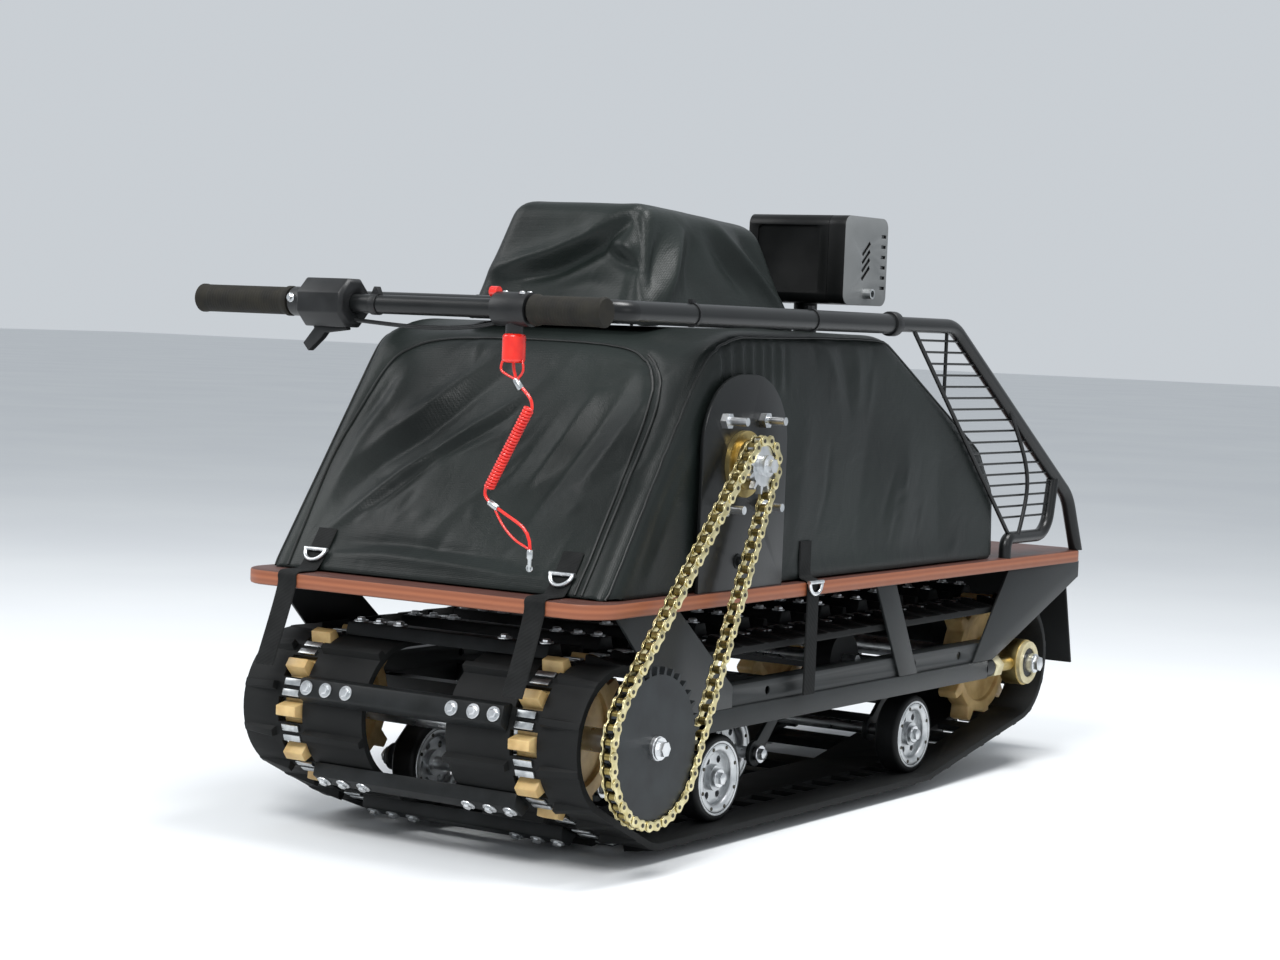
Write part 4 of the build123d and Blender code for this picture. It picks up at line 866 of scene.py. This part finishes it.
def along_loop(runs, distance):
    """Point, outward direction and direction of travel at a distance along a loop."""
    distance %= sum(run[1] for run in runs)
    for kind, length, a, b, c in runs:
        if distance <= length:
            break
        distance -= length
    if kind == "straight":
        return a + b * distance, c, b
    turn = c + distance / b
    out = Vector((math.cos(turn), math.sin(turn)))
    return a + out * b, out, Vector((-out.y, out.x))


def islands(node):
    """Lowest and highest corners of a frame node's separate solids, the highest solid first."""
    net = welded(node)
    left, found = set(net.verts), []
    while left:
        group, edge = set(), {left.pop()}
        while edge:
            group |= edge
            edge = {e.other_vert(v) for v in edge for e in v.link_edges} - group
        left -= group
        low = Vector([min(v.co[i] for v in group) for i in range(3)])
        high = Vector([max(v.co[i] for v in group) for i in range(3)])
        found.append((low, high))
    net.free()
    return sorted(found, key=lambda corners: (-corners[0].z, corners[0].x, corners[0].y))


PHASE_STEPS = 4000


def phase(runs, place):
    """Distance along the loop of the point nearest to a place."""
    total = sum(run[1] for run in runs)
    flat = Vector((place.x, place.z))
    tries = (total * k / PHASE_STEPS for k in range(PHASE_STEPS))
    return min(tries, key=lambda distance: (along_loop(runs, distance)[0] - flat).length)


def upright(flat, y=0.0):
    return Vector((flat.x, y, flat.y))


TRACK_PITCH = 52.8
SPROCKET_TEETH = 10
WHEEL_R = 54.0
BELT_T = 8.0
SHOES = 50
WINDOW_Y = 172.0
BAR_BOLT_Y = (78.0, 109.0, 138.0)
BAR_TOP = 16.0
# bolts, columns: head's radius and height, washer's radius and thickness
BAR_BOLT = (5.6, 3.6, 9.0, 1.8)
AXLE_BOLT = (8.0, 6.0, 12.0, 2.0)
IDLER_NUT = (11.0, 7.0, 13.5, 2.0)
BOLT_SUNK = 0.3            # of a washer, so that no gap shows under it
BAR_BOLT_TALL = 5.1
LUG_LIP = 1.0              # what is left of a lug at the belt's edge
LUG_ROUND = 0.9
LOOP_STEPS = 3000
RUNG_CLIP = 6.6            # of each clip from the middle of its rung
WINDOW_CLIP = [(-4.2, -13), (4.2, -13), (4.2, 13), (-4.2, 13)]
CLIP_T = 2.8
CLIP_SUNK = 0.4


def track_loop():
    low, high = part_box("road_wheel_tyres")
    z = (low[2] + high[2]) / 2
    tight = TRACK_PITCH * SPROCKET_TEETH / math.tau * MM
    loose = (WHEEL_R + BELT_T / 2) * MM
    ends = [centre("drive_sprockets"), centre("idler_sprockets")]
    return loop_runs([(ends[0].x, ends[0].z, tight), (low[0] + WHEEL_R * MM, z, loose),
                      (high[0] - WHEEL_R * MM, z, loose), (ends[1].x, ends[1].z, tight)])


def wheel_ends():
    """Middle and outer end of each wheel's axle, in metres."""
    ends = []
    for low, high in islands("road_axles"):
        ends.append(((low.x + high.x) / 2, (low.z + high.z) / 2, high.y))
    return ends


def lay_track(runs):
    """The belts, with lugs that run out towards the belts' edges and moulded edges."""
    net = welded("track")
    total = sum(run[1] for run in runs)
    steps = [along_loop(runs, total * k / LOOP_STEPS) for k in range(LOOP_STEPS)]
    tree = KDTree(LOOP_STEPS)
    for k, (flat, _, _) in enumerate(steps):
        tree.insert(upright(flat), k)
    tree.balance()
    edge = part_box("track")[1][1] - MM
    for v in net.verts:
        flat, out, _ = steps[tree.find((v.co.x, 0, v.co.z))[1]]
        spare = (Vector((v.co.x, v.co.z)) - flat).dot(out) - (BELT_T / 2 + LUG_LIP) * MM
        if abs(v.co.y) > edge and spare > 0:
            v.co -= upright(out) * spare
    bmesh.ops.dissolve_limit(net, angle_limit=FLAT_TURN, verts=net.verts[:], edges=net.edges[:])
    return piece(net, "moulded_track", SLOTS["track"], stands_for=["track"], edge=LUG_ROUND)


# wheel's pressed rim, columns: mm out from the hub's face, radius
WHEEL_RIM = [(-1.0, 32.6), (0.6, 33.0), (2.2, 35.0), (3.4, 37.0), (3.4, 41.5), (2.8, 43.0), (3.6, 44.0),
             (3.6, 45.8), (2.4, 46.8), (0.5, 46.8)]
RIM_RIVETS = 8
RIVET_CIRCLE = 39.2
# turned pieces of the wheels and the idler, columns: mm out from what carries them, radius
RIVET_HEAD = [(2.5, 0), (2.5, 2.6), (4.0, 2.4), (4.8, 1.4), (4.8, 0)]
BEARING_RING = [(0, 21), (0, 31), (6, 31), (7.5, 29.5), (7.5, 22.5), (6, 21), (0, 21)]
BEARING_SEAL = [(0, 13.5), (0, 21), (5, 21), (5, 13.5), (0, 13.5)]
TENSION_SLEEVE = [(0, 10), (0, 14), (24, 14), (24, 10)]
TENSION_NUT = [(26, 10), (26, 15.5), (28, 16.5), (48, 16.5), (50, 15.5), (50, 10)]


class TUG_OT_running_gear(bpy.types.Operator):
    """Moulds the belts, bolts the cross bars to them, clips their windows and dresses the wheels"""
    bl_idname = "tug.running_gear"
    bl_label = "Running gear"

    def execute(self, context):
        runs = track_loop()
        lay_track(runs)
        rims, rivets = bmesh.new(), bmesh.new()
        for low, high in islands("road_wheel_hubs"):
            for way, face in zip(SIDES, (high.y, low.y)):
                base = Vector(((low.x + high.x) / 2, face, (low.z + high.z) / 2))
                turned(rims, WHEEL_RIM, base, Y * way, 40)
                for k in range(RIM_RIVETS):
                    turn = math.tau * (k + 0.5) / RIM_RIVETS
                    place = base + (X * math.cos(turn) + Z * math.sin(turn)) * RIVET_CIRCLE * MM
                    turned(rivets, RIVET_HEAD, place, Y * way, 10)
        piece(rims, "wheel_rims", "hub_alloy")
        piece(rivets, "wheel_rivets", "pin_dark")
        bars = islands("track_bars")
        # the highest bar lies on the straight upper run, with its middle right over its place on the loop
        first = phase(runs, (bars[0][0] + bars[0][1]) / 2)
        bolts, clips = bmesh.new(), bmesh.new()
        for k in range(SHOES):
            flat, out, ahead = along_loop(runs, first + k * TRACK_PITCH * MM)
            out, ahead = upright(out), upright(ahead)
            for side in SIDES:
                for shift in (-RUNG_CLIP, RUNG_CLIP):
                    base = upright(flat, side * WINDOW_Y * MM) + ahead * shift * MM
                    base += out * (BELT_T / 2 - CLIP_SUNK) * MM
                    prism(clips, WINDOW_CLIP, base, ahead, Y * -1, CLIP_T)
                if k % 2 == 0:
                    for y in BAR_BOLT_Y:
                        base = upright(flat, side * y * MM) + out * (BELT_T / 2 + BAR_TOP) * MM
                        # bolts that stand on the floor are pressed flush
                        sink = max(0.0, -(base + out * BAR_BOLT_TALL * MM).z)
                        bolt(bolts, base - out * (BOLT_SUNK * MM + sink), out, *BAR_BOLT)
        for x, z, y in wheel_ends():
            for side in SIDES:
                bolt(bolts, Vector((x, side * y, z)), Y * side, *AXLE_BOLT)
        piece(bolts, "track_bar_bolts", "bright_steel")
        idler = centre("idler_axle")
        face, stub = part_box("idler_arms")[1][1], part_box("idler_axle")[1][1]
        cream, seal, nuts = bmesh.new(), bmesh.new(), bmesh.new()
        for side in SIDES:
            base = Vector((idler.x, side * face, idler.z))
            turned(cream, BEARING_RING, base, Y * side, 40)
            turned(seal, BEARING_SEAL, base, Y * side, 32)
            bolt(nuts, Vector((idler.x, side * stub, idler.z)), Y * side, *IDLER_NUT)
            neck = Vector((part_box("lower_rail_left")[1][0], side * centre("lower_rail_left").y, idler.z))
            turned(seal, TENSION_SLEEVE, neck, X, 24)
            turned(cream, TENSION_NUT, neck, X, HEAD_SIDES)
        piece(cream, "idler_bearing_rings", "cream_zinc")
        piece(seal, "idler_bearing_seals", "control_plastic")
        piece(nuts, "idler_axle_nuts", "bright_steel")
        piece(clips, "track_window_clips", "clip_steel", edge=1.0)
        return {"FINISHED"}


CHAIN_PITCH = 15.875
CHAIN_LINKS = 72
# teeth of the two chain wheels
CHAIN_TEETH = {"driven_sprocket": 35, "chain_pinion": 12}
PLATE_T = 1.5
PLATE_GAPS = (4.2, 6.0)    # inner and outer plates, from the chain's middle
PLATE_END, PLATE_WAIST = 6.6, 4.6
PLATE_TURN = 125           # degrees of each round end, to either side
# columns: mm along the pin, radius
CHAIN_PIN = [(-8.3, 0), (-8.3, 2.2), (-7.9, 2.6), (7.9, 2.6), (8.3, 2.2), (8.3, 0)]
CHAIN_ROLLER = [(-3.9, 0), (-3.9, 4.9), (3.9, 4.9), (3.9, 0)]


def link_plate(ends, waist, sides=9):
    """Outline of a chain plate: two round ends with a waist between."""
    half = CHAIN_PITCH / 2
    turns = [math.radians(-PLATE_TURN + 2 * PLATE_TURN * k / (sides - 1)) for k in range(sides)]
    right = [(half + ends * math.cos(t), ends * math.sin(t)) for t in turns]
    left = [(-a, -b) for a, b in right]
    return right + [(0, waist)] + left + [(0, -waist)]


class TUG_OT_drive(bpy.types.Operator):
    """Links the roller chain: inner and outer plates, rollers and riveted pins"""
    bl_idname = "tug.drive"
    bl_label = "Drive"

    def execute(self, context):
        circles = []
        for node, teeth in CHAIN_TEETH.items():
            middle = centre(node)
            circles.append((middle.x, middle.z, teeth * CHAIN_PITCH / math.tau * MM))
        # the lower sprocket is behind, so the loop runs under it and up the front
        runs = loop_runs(circles)
        y = centre("chain").y
        outline = link_plate(PLATE_END, PLATE_WAIST)
        plates, pins, barrels = bmesh.new(), bmesh.new(), bmesh.new()
        for k in range(CHAIN_LINKS):
            ends = [along_loop(runs, (k + j) * CHAIN_PITCH * MM)[0] for j in (0, 1)]
            one, two = (upright(p, y) for p in ends)
            ahead = (two - one).normalized()
            up = ahead.cross(Y)
            gap = PLATE_GAPS[k % 2]
            for side in SIDES:
                base = (one + two) / 2 + Y * side * (gap + (PLATE_T if side > 0 else 0)) * MM
                prism(plates, outline, base, ahead, up, -side * PLATE_T)
            turned(pins, CHAIN_PIN, one, Y, 12)
            turned(barrels, CHAIN_ROLLER, one, Y, 16)
        piece(plates, "chain_plates", "chain_gold", stands_for=["chain"], edge=0.3)
        piece(pins, "chain_pins", "pin_dark")
        piece(barrels, "chain_rollers", "roller_brass")
        return {"FINISHED"}


# Straps, controls, lanyard and cables

SIDE_STRAP_X, REAR_STRAP_Y = 388.0, 182.0
STRAP_HALF, STRAP_T = 14.5, 2.6
# columns: mm out from the middle plane, height
SIDE_STRAP = [(254.4, 366), (254.4, 345), (254.6, 326), (258, 319.6), (264, 318.2), (268, 315),
              (268.2, 304), (268, 240), (267.8, 174)]
# columns: mm ahead of the drive shaft, height
REAR_STRAP = [(-16, 366), (-36, 337), (-50, 321), (-58, 318.2), (-82, 318), (-89.5, 314), (-90, 300),
              (-104, 262), (-126, 209)]

# plugs of the upper rail, mm ahead of the drive shaft
RAIL_PLUGS = (703.0, 925.0)
# columns: mm out from the rail, radius
RAIL_PLUG = [(0, 0), (0, 6.5), (1.2, 6.2), (1.2, 4.4), (0.3, 4.0), (0.3, 0)]
PLATE_BOLT_AT = (212.0, 350.0)
PLATE_BOLT = (6.5, 4.5, 9.5, 1.6)
# columns: mm ahead of the drive shaft, upper end, lower end
GRILLE_UPRIGHT = (744.0, 638.0, 545.0)
GRILLE_ROD_R = 2.5


class TUG_OT_frame(bpy.types.Operator):
    """Plugs and bolts of the rails, the drive plate and the guard"""
    bl_idname = "tug.frame"
    bl_label = "Frame"

    def execute(self, context):
        plugs = bmesh.new()
        rail, face = centre("upper_rail_left"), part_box("upper_rail_left")[1][1] / MM
        for side in SIDES:
            for x in RAIL_PLUGS:
                base = spot(x, side * face, rail.z / MM)
                turned(plugs, RAIL_PLUG, base, Y * side, 20)
        x, z = PLATE_BOLT_AT
        bolt(plugs, spot(x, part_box("drive_plate")[0][1] / MM, z), Y * -1, *PLATE_BOLT)
        piece(plugs, "rail_plugs", "bar_steel")
        rods = bmesh.new()
        x, high, low = GRILLE_UPRIGHT
        for node in ("grille_left", "grille_right"):
            y = centre(node).y / MM
            swept(rods, [spot(x, y, high), spot(x, y, low)], GRILLE_ROD_R, 10)
        piece(rods, "grille_uprights", "tube_black")
        return {"FINISHED"}


class TUG_OT_straps(bpy.types.Operator):
    """Lays the webbing straps over the deck's edges"""
    bl_idname = "tug.straps"
    bl_label = "Straps"

    def execute(self, context):
        net = bmesh.new()
        for side in SIDES:
            beside = [spot(SIDE_STRAP_X, side * y, z) for y, z in SIDE_STRAP]
            behind = [spot(x, side * REAR_STRAP_Y, z) for x, z in REAR_STRAP]
            ribbon(net, eased(beside, 6), X, STRAP_HALF, STRAP_T)
            ribbon(net, eased(behind, 6), Y, STRAP_HALF, STRAP_T)
        piece(net, "webbing_straps", "webbing", stands_for=["straps"])
        return {"FINISHED"}


BAR_X = -130.0
BAR_Z = centre("handlebar").z / MM
# grips, columns: inner end, outer end along the bar
GRIPS = [(150.0, 292.0), (-196.0, -292.0)]
# a grip's inner end, one rib, and its outer end measured from the tip, columns: mm along, radius
GRIP_INNER = [(0, 11.4), (0, 16.8), (1.5, 17.6), (6, 17.6), (8, 16.2)]
GRIP_RIB = [(10, 16.2), (11.2, 15.9), (12.8, 15.9), (14, 16.2)]
GRIP_OUTER = [(-8, 16.2), (-6, 16.9), (-2, 16.9), (0, 15.2), (0, 0)]
RIB_PITCH = 4
GRIP_PLAIN = 26            # of a grip's length, without ribs
# ties and collars of the sleeves, mm ahead of the drive shaft
TIES = (96.0, 373.0)
COLLAR_X = 584.0
# columns: mm along the tube, radius
TIE_BAND = [(-2.4, 12), (-2.4, 14.4), (2.4, 14.4), (2.4, 12)]
COLLAR = [(-8, 12), (-8, 15.4), (-6.6, 16.2), (6.6, 16.2), (8, 15.4), (8, 10)]
TIE_HEAD = [(-3.6, -3), (3.6, -3), (3.6, 3), (-3.6, 3)]
TIE_SEAT, TIE_TALL = 13.4, 4.5
LOOP_R = 13.0
LOOP_Z = 642.0
# screws on the switch and the grip's clamp, columns: mm ahead of the bar, along it
SWITCH_SCREWS = [(-7, -184), (7, -184), (0, -156)]
SCREW_HEAD = [(0, 0), (0, 3.4), (2.2, 3.2), (3.2, 2.0), (3.2, 0)]
SCREW_SEAT = 17.0
# columns: mm ahead of the bar, along it, above it
CLAMP_BOLT_AT = (-16.5, 141, 4)
CLAMP_BOLT = (4.0, 3.0, 5.5, 1.0)
# clip that holds the lead on the bar
BAR_CLIP_Y = 26.0
BAR_CLIP_BAND = [(-5, 10.5), (-5, 12.6), (5, 12.6), (5, 10.5)]
BAR_CLIP_TAB = [(-6, 0), (6, 0), (2, 9), (-2, 9)]
BAR_CLIP_SEAT = 11.0
BAR_CLIP_DEEP = 8.0


class TUG_OT_handle(bpy.types.Operator):
    """Fits the grips, ties, collars and switch screws of the handle"""
    bl_idname = "tug.handle"
    bl_label = "Handle"

    def execute(self, context):
        grips = bmesh.new()
        for inner, outer in GRIPS:
            long = abs(outer - inner)
            ribs = range(int((long - GRIP_PLAIN) / RIB_PITCH))
            profile = list(GRIP_INNER)
            for k in ribs:
                profile += [(along + RIB_PITCH * k, radius) for along, radius in GRIP_RIB]
            profile += [(long + along, radius) for along, radius in GRIP_OUTER]
            turned(grips, profile, spot(BAR_X, inner, BAR_Z), Y * math.copysign(1, outer - inner), 36)
        piece(grips, "rubber_grips", "grip_rubber", HANDLE, ["grips"])
        ties, collars = bmesh.new(), bmesh.new()
        rail_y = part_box("handle_loop")[1][1] / MM - LOOP_R
        for side in SIDES:
            for x in TIES:
                base = spot(x, side * rail_y, LOOP_Z)
                turned(ties, TIE_BAND, base, X, 28)
                prism(ties, TIE_HEAD, base + Z * TIE_SEAT * MM, X, Y, TIE_TALL)
            turned(collars, COLLAR, spot(COLLAR_X, side * rail_y, LOOP_Z), X, 32)
        piece(ties, "sleeve_ties", "control_plastic", HANDLE)
        piece(collars, "sleeve_collars", "control_plastic", HANDLE)
        screws = bmesh.new()
        for ahead, y in SWITCH_SCREWS:
            turned(screws, SCREW_HEAD, spot(BAR_X + ahead, y, BAR_Z + SCREW_SEAT), Z, 14)
        ahead, y, up = CLAMP_BOLT_AT
        bolt(screws, spot(BAR_X + ahead, y, BAR_Z + up), X * -1, *CLAMP_BOLT)
        piece(screws, "switch_screws", "bright_steel", HANDLE)
        clip = bmesh.new()
        turned(clip, BAR_CLIP_BAND, spot(BAR_X, BAR_CLIP_Y, BAR_Z), Y, 28)
        tab = spot(BAR_X - BAR_CLIP_DEEP / 2, BAR_CLIP_Y, BAR_Z + BAR_CLIP_SEAT)
        prism(clip, BAR_CLIP_TAB, tab, Y, Z, BAR_CLIP_DEEP)
        piece(clip, "bar_lead_clip", "control_plastic", HANDLE, edge=0.6)
        return {"FINISHED"}


class TugLanyardSizes(bpy.types.PropertyGroup):
    """Sizes of the stop switch's lanyard"""
    cord: bpy.props.FloatProperty(name="Cord", description="Cord's radius", default=0.0019, unit="LENGTH")
    turns: bpy.props.IntProperty(name="Turns", description="Turns of the coil", default=26)


def make_spline(name, line):
    """A smooth spline with the given points as its control points."""
    curve = bpy.data.curves.new(name, "CURVE")
    curve.dimensions = "3D"
    spline = curve.splines.new("NURBS")
    spline.points.add(len(line) - 1)
    for point, place in zip(spline.points, line):
        point.co = (*place, 1.0)
    spline.order_u, spline.use_endpoint_u, spline.resolution_u = 3, True, 4
    return curve


def smooth_line(line):
    """Points read back from the smooth spline of a short strand."""
    holder = bpy.data.objects.new("line", make_spline("line", line))
    bpy.context.scene.collection.objects.link(holder)
    shape = bpy.data.meshes.new_from_object(holder.evaluated_get(bpy.context.evaluated_depsgraph_get()))
    bpy.data.objects.remove(holder)
    return [v.co.copy() for v in shape.vertices]


def make_cord(name, line, radius, slot, body, stands_for):
    """A cord as one smooth spline with its route's points as control points."""
    curve = make_spline(name, line)
    curve.bevel_depth, curve.bevel_resolution, curve.use_fill_caps = radius, 3, True
    made = settle(curve, name, slot, body, stands_for)
    return made


# the lanyard's route in the plane of the bar, columns: y, z
LANYARD_TOP = [(-170, 581), (-172, 563), (-190, 548), (-197, 540)]
COIL_ENDS = [(-194, 532), (-143, 441)]
LANYARD_LOW = [(-136.2, 428.8), (-164, 414), (-202, 396), (-202, 376)]
# ferrules, columns: direction in y and z, y, z
FERRULES = [((-0.6, -0.8), -178, 557.5), ((-0.88, -0.47), -150, 421.5)]
# second strands of the two loops, columns: x, y, z
STRANDS = [
    [(-131, -157, 584), (-133, -153, 574), (-133, -162, 568), (-130, -174, 563), (-130, -177, 559)],
    [(-131, -183, 584), (-133, -187, 575), (-133, -184, 568), (-130, -176, 563), (-130, -178, 558)],
    [(-130, -150, 421), (-131, -160, 404), (-132, -180, 386), (-131, -198, 378), (-130, -202, 376)],
]
# columns: mm along, radius
FERRULE = [(-7, 0), (-7, 3.2), (-6, 3.8), (6, 3.8), (7, 3.2), (7, 0)]
SNAP_CLIP = [(0, 0), (0, 2.6), (2, 3.6), (9, 3.6), (11, 2.4), (24, 2.0), (24, 0)]
# the clip's wire hook: half its width and height, its middle below the cord's end, its turn and wire
HOOK_WIDE, HOOK_TALL, HOOK_DROP = 3.6, 3.4, 20.4
HOOK_TURN, HOOK_STEPS = 5.2, 18
HOOK_WIRE = 1.0
COIL_R = 4.6
COIL_STEPS = 12
STRAND_R = 1.4
CABLE_Y = -262.4
CABLE_R = 0.003
# the engine's control cable, columns: mm ahead of the drive shaft, height
CABLE = [(926, 542), (975, 490), (1012, 434), (1006, 386), (984, 344)]
# the stop switch's lead, columns: y, z from the bar
SWITCH_LEAD = [(57, -19), (30.5, -21), (-40.9, -25), (-120.5, -22), (-147, -15)]
LEAD_R = 0.0025


def coil_points(one, two, turns):
    """A helix about the axis between two points, with half a turn over so that it ends on its far side."""
    axis = two - one
    across = axis.normalized().cross(X).normalized()
    over = axis.normalized().cross(across)
    count = turns * COIL_STEPS + COIL_STEPS // 2
    line = []
    for k in range(count + 1):
        turn = math.tau * k / COIL_STEPS
        spoke = across * math.cos(turn) + over * math.sin(turn)
        line.append(one + axis * (k / count) + spoke * COIL_R * MM)
    return line


class TUG_OT_lanyard(bpy.types.Operator):
    """Winds the red lanyard with its ferrules and snap clip, and strings the two cables"""
    bl_idname = "tug.lanyard"
    bl_label = "Lanyard and cables"

    def execute(self, context):
        sizes = context.scene.tug_lanyard
        routes = (LANYARD_TOP, COIL_ENDS, LANYARD_LOW)
        top, coil, low = ([spot(BAR_X, y, z) for y, z in run] for run in routes)
        line = top + coil_points(*coil, sizes.turns) + low
        ferrules, loops = bmesh.new(), bmesh.new()
        for ahead, y, z in FERRULES:
            way = Vector((0, ahead[0], ahead[1])).normalized()
            turned(ferrules, FERRULE, spot(BAR_X, y, z), way, 16)
        for strand in STRANDS:
            swept(loops, smooth_line([spot(*p) for p in strand]), STRAND_R, 10)
        clip = bmesh.new()
        y, z = LANYARD_LOW[-1]
        turned(clip, SNAP_CLIP, spot(BAR_X, y, z), Z * -1, 16)
        hook = []
        for turn in np.linspace(0, HOOK_TURN, HOOK_STEPS):
            up = HOOK_TALL * math.cos(turn) - HOOK_DROP
            hook.append(spot(BAR_X, y + HOOK_WIDE * math.sin(turn), z + up))
        swept(clip, hook, HOOK_WIRE, 8)
        pieces = [piece(ferrules, "lanyard_ferrules", "clip_steel", HANDLE),
                  piece(loops, "lanyard_loops", "lanyard_red", HANDLE),
                  piece(clip, "lanyard_snap_clip", "clip_steel", HANDLE, ["lanyard_clip"])]
        make_cord("lanyard_cord", line, sizes.cord, "lanyard_red", HANDLE,
                  ["lanyard_upper", "lanyard_coil", "lanyard_lower"])
        cable = [spot(x, CABLE_Y, z) for x, z in CABLE]
        make_cord("engine_control_cable", cable, CABLE_R, "control_plastic",
                  CHASSIS, ["control_cable"])
        lead = [spot(BAR_X, y, BAR_Z + z) for y, z in SWITCH_LEAD]
        make_cord("stop_switch_lead", lead, LEAD_R, "control_plastic", HANDLE,
                  ["switch_lead"])
        return {"FINISHED"}


class TUG_OT_stage(bpy.types.Operator):
    """Sets the camera, the pale floor and the studio lamps"""
    bl_idname = "tug.stage"
    bl_label = "Stage"

    def execute(self, context):
        make_camera()
        make_stage()
        return {"FINISHED"}


class TUG_OT_finishes(bpy.types.Operator):
    """Makes the materials and dresses the frame's own pieces"""
    bl_idname = "tug.finishes"
    bl_label = "Finishes"

    def execute(self, context):
        make_materials()
        for node in NODES:
            dress(node)
        for body, edge, nodes in EASED:
            for node in nodes:
                eased_copy = ease(node, edge, body)
                if node == "muffler_shield":
                    # the shield's faces that turn away from the near side are given the muffler's black
                    blacken_turned_faces(eased_copy, -Y)
        return {"FINISHED"}


ORDER = [TUG_OT_stage, TUG_OT_finishes, TUG_OT_lanyard, TUG_OT_hood, TUG_OT_top_cover, TUG_OT_running_gear,
         TUG_OT_drive, TUG_OT_frame, TUG_OT_straps, TUG_OT_handle]


class TUG_PT_panel(bpy.types.Panel):
    """Lists the tug's pieces in the order they are made"""
    bl_label = "Snow tug"
    bl_idname = "TUG_PT_panel"
    bl_space_type = "VIEW_3D"
    bl_region_type = "UI"
    bl_category = "Snow tug"

    def draw(self, context):
        for operator in ORDER:
            self.layout.operator(operator.bl_idname)


GROUPS = {"tug_fabric": TugFabricSizes, "tug_lanyard": TugLanyardSizes}


def register():
    for kind in (*GROUPS.values(), *ORDER, TUG_PT_panel):
        bpy.utils.register_class(kind)
    for name, kind in GROUPS.items():
        setattr(bpy.types.Scene, name, bpy.props.PointerProperty(type=kind))


def unregister():
    for name in GROUPS:
        delattr(bpy.types.Scene, name)
    for kind in reversed((*GROUPS.values(), *ORDER, TUG_PT_panel)):
        bpy.utils.unregister_class(kind)


def main():
    register()
    for operator in ORDER:
        group, name = operator.bl_idname.split(".")
        getattr(getattr(bpy.ops, group), name)()


if __name__ == "__main__":
    main()
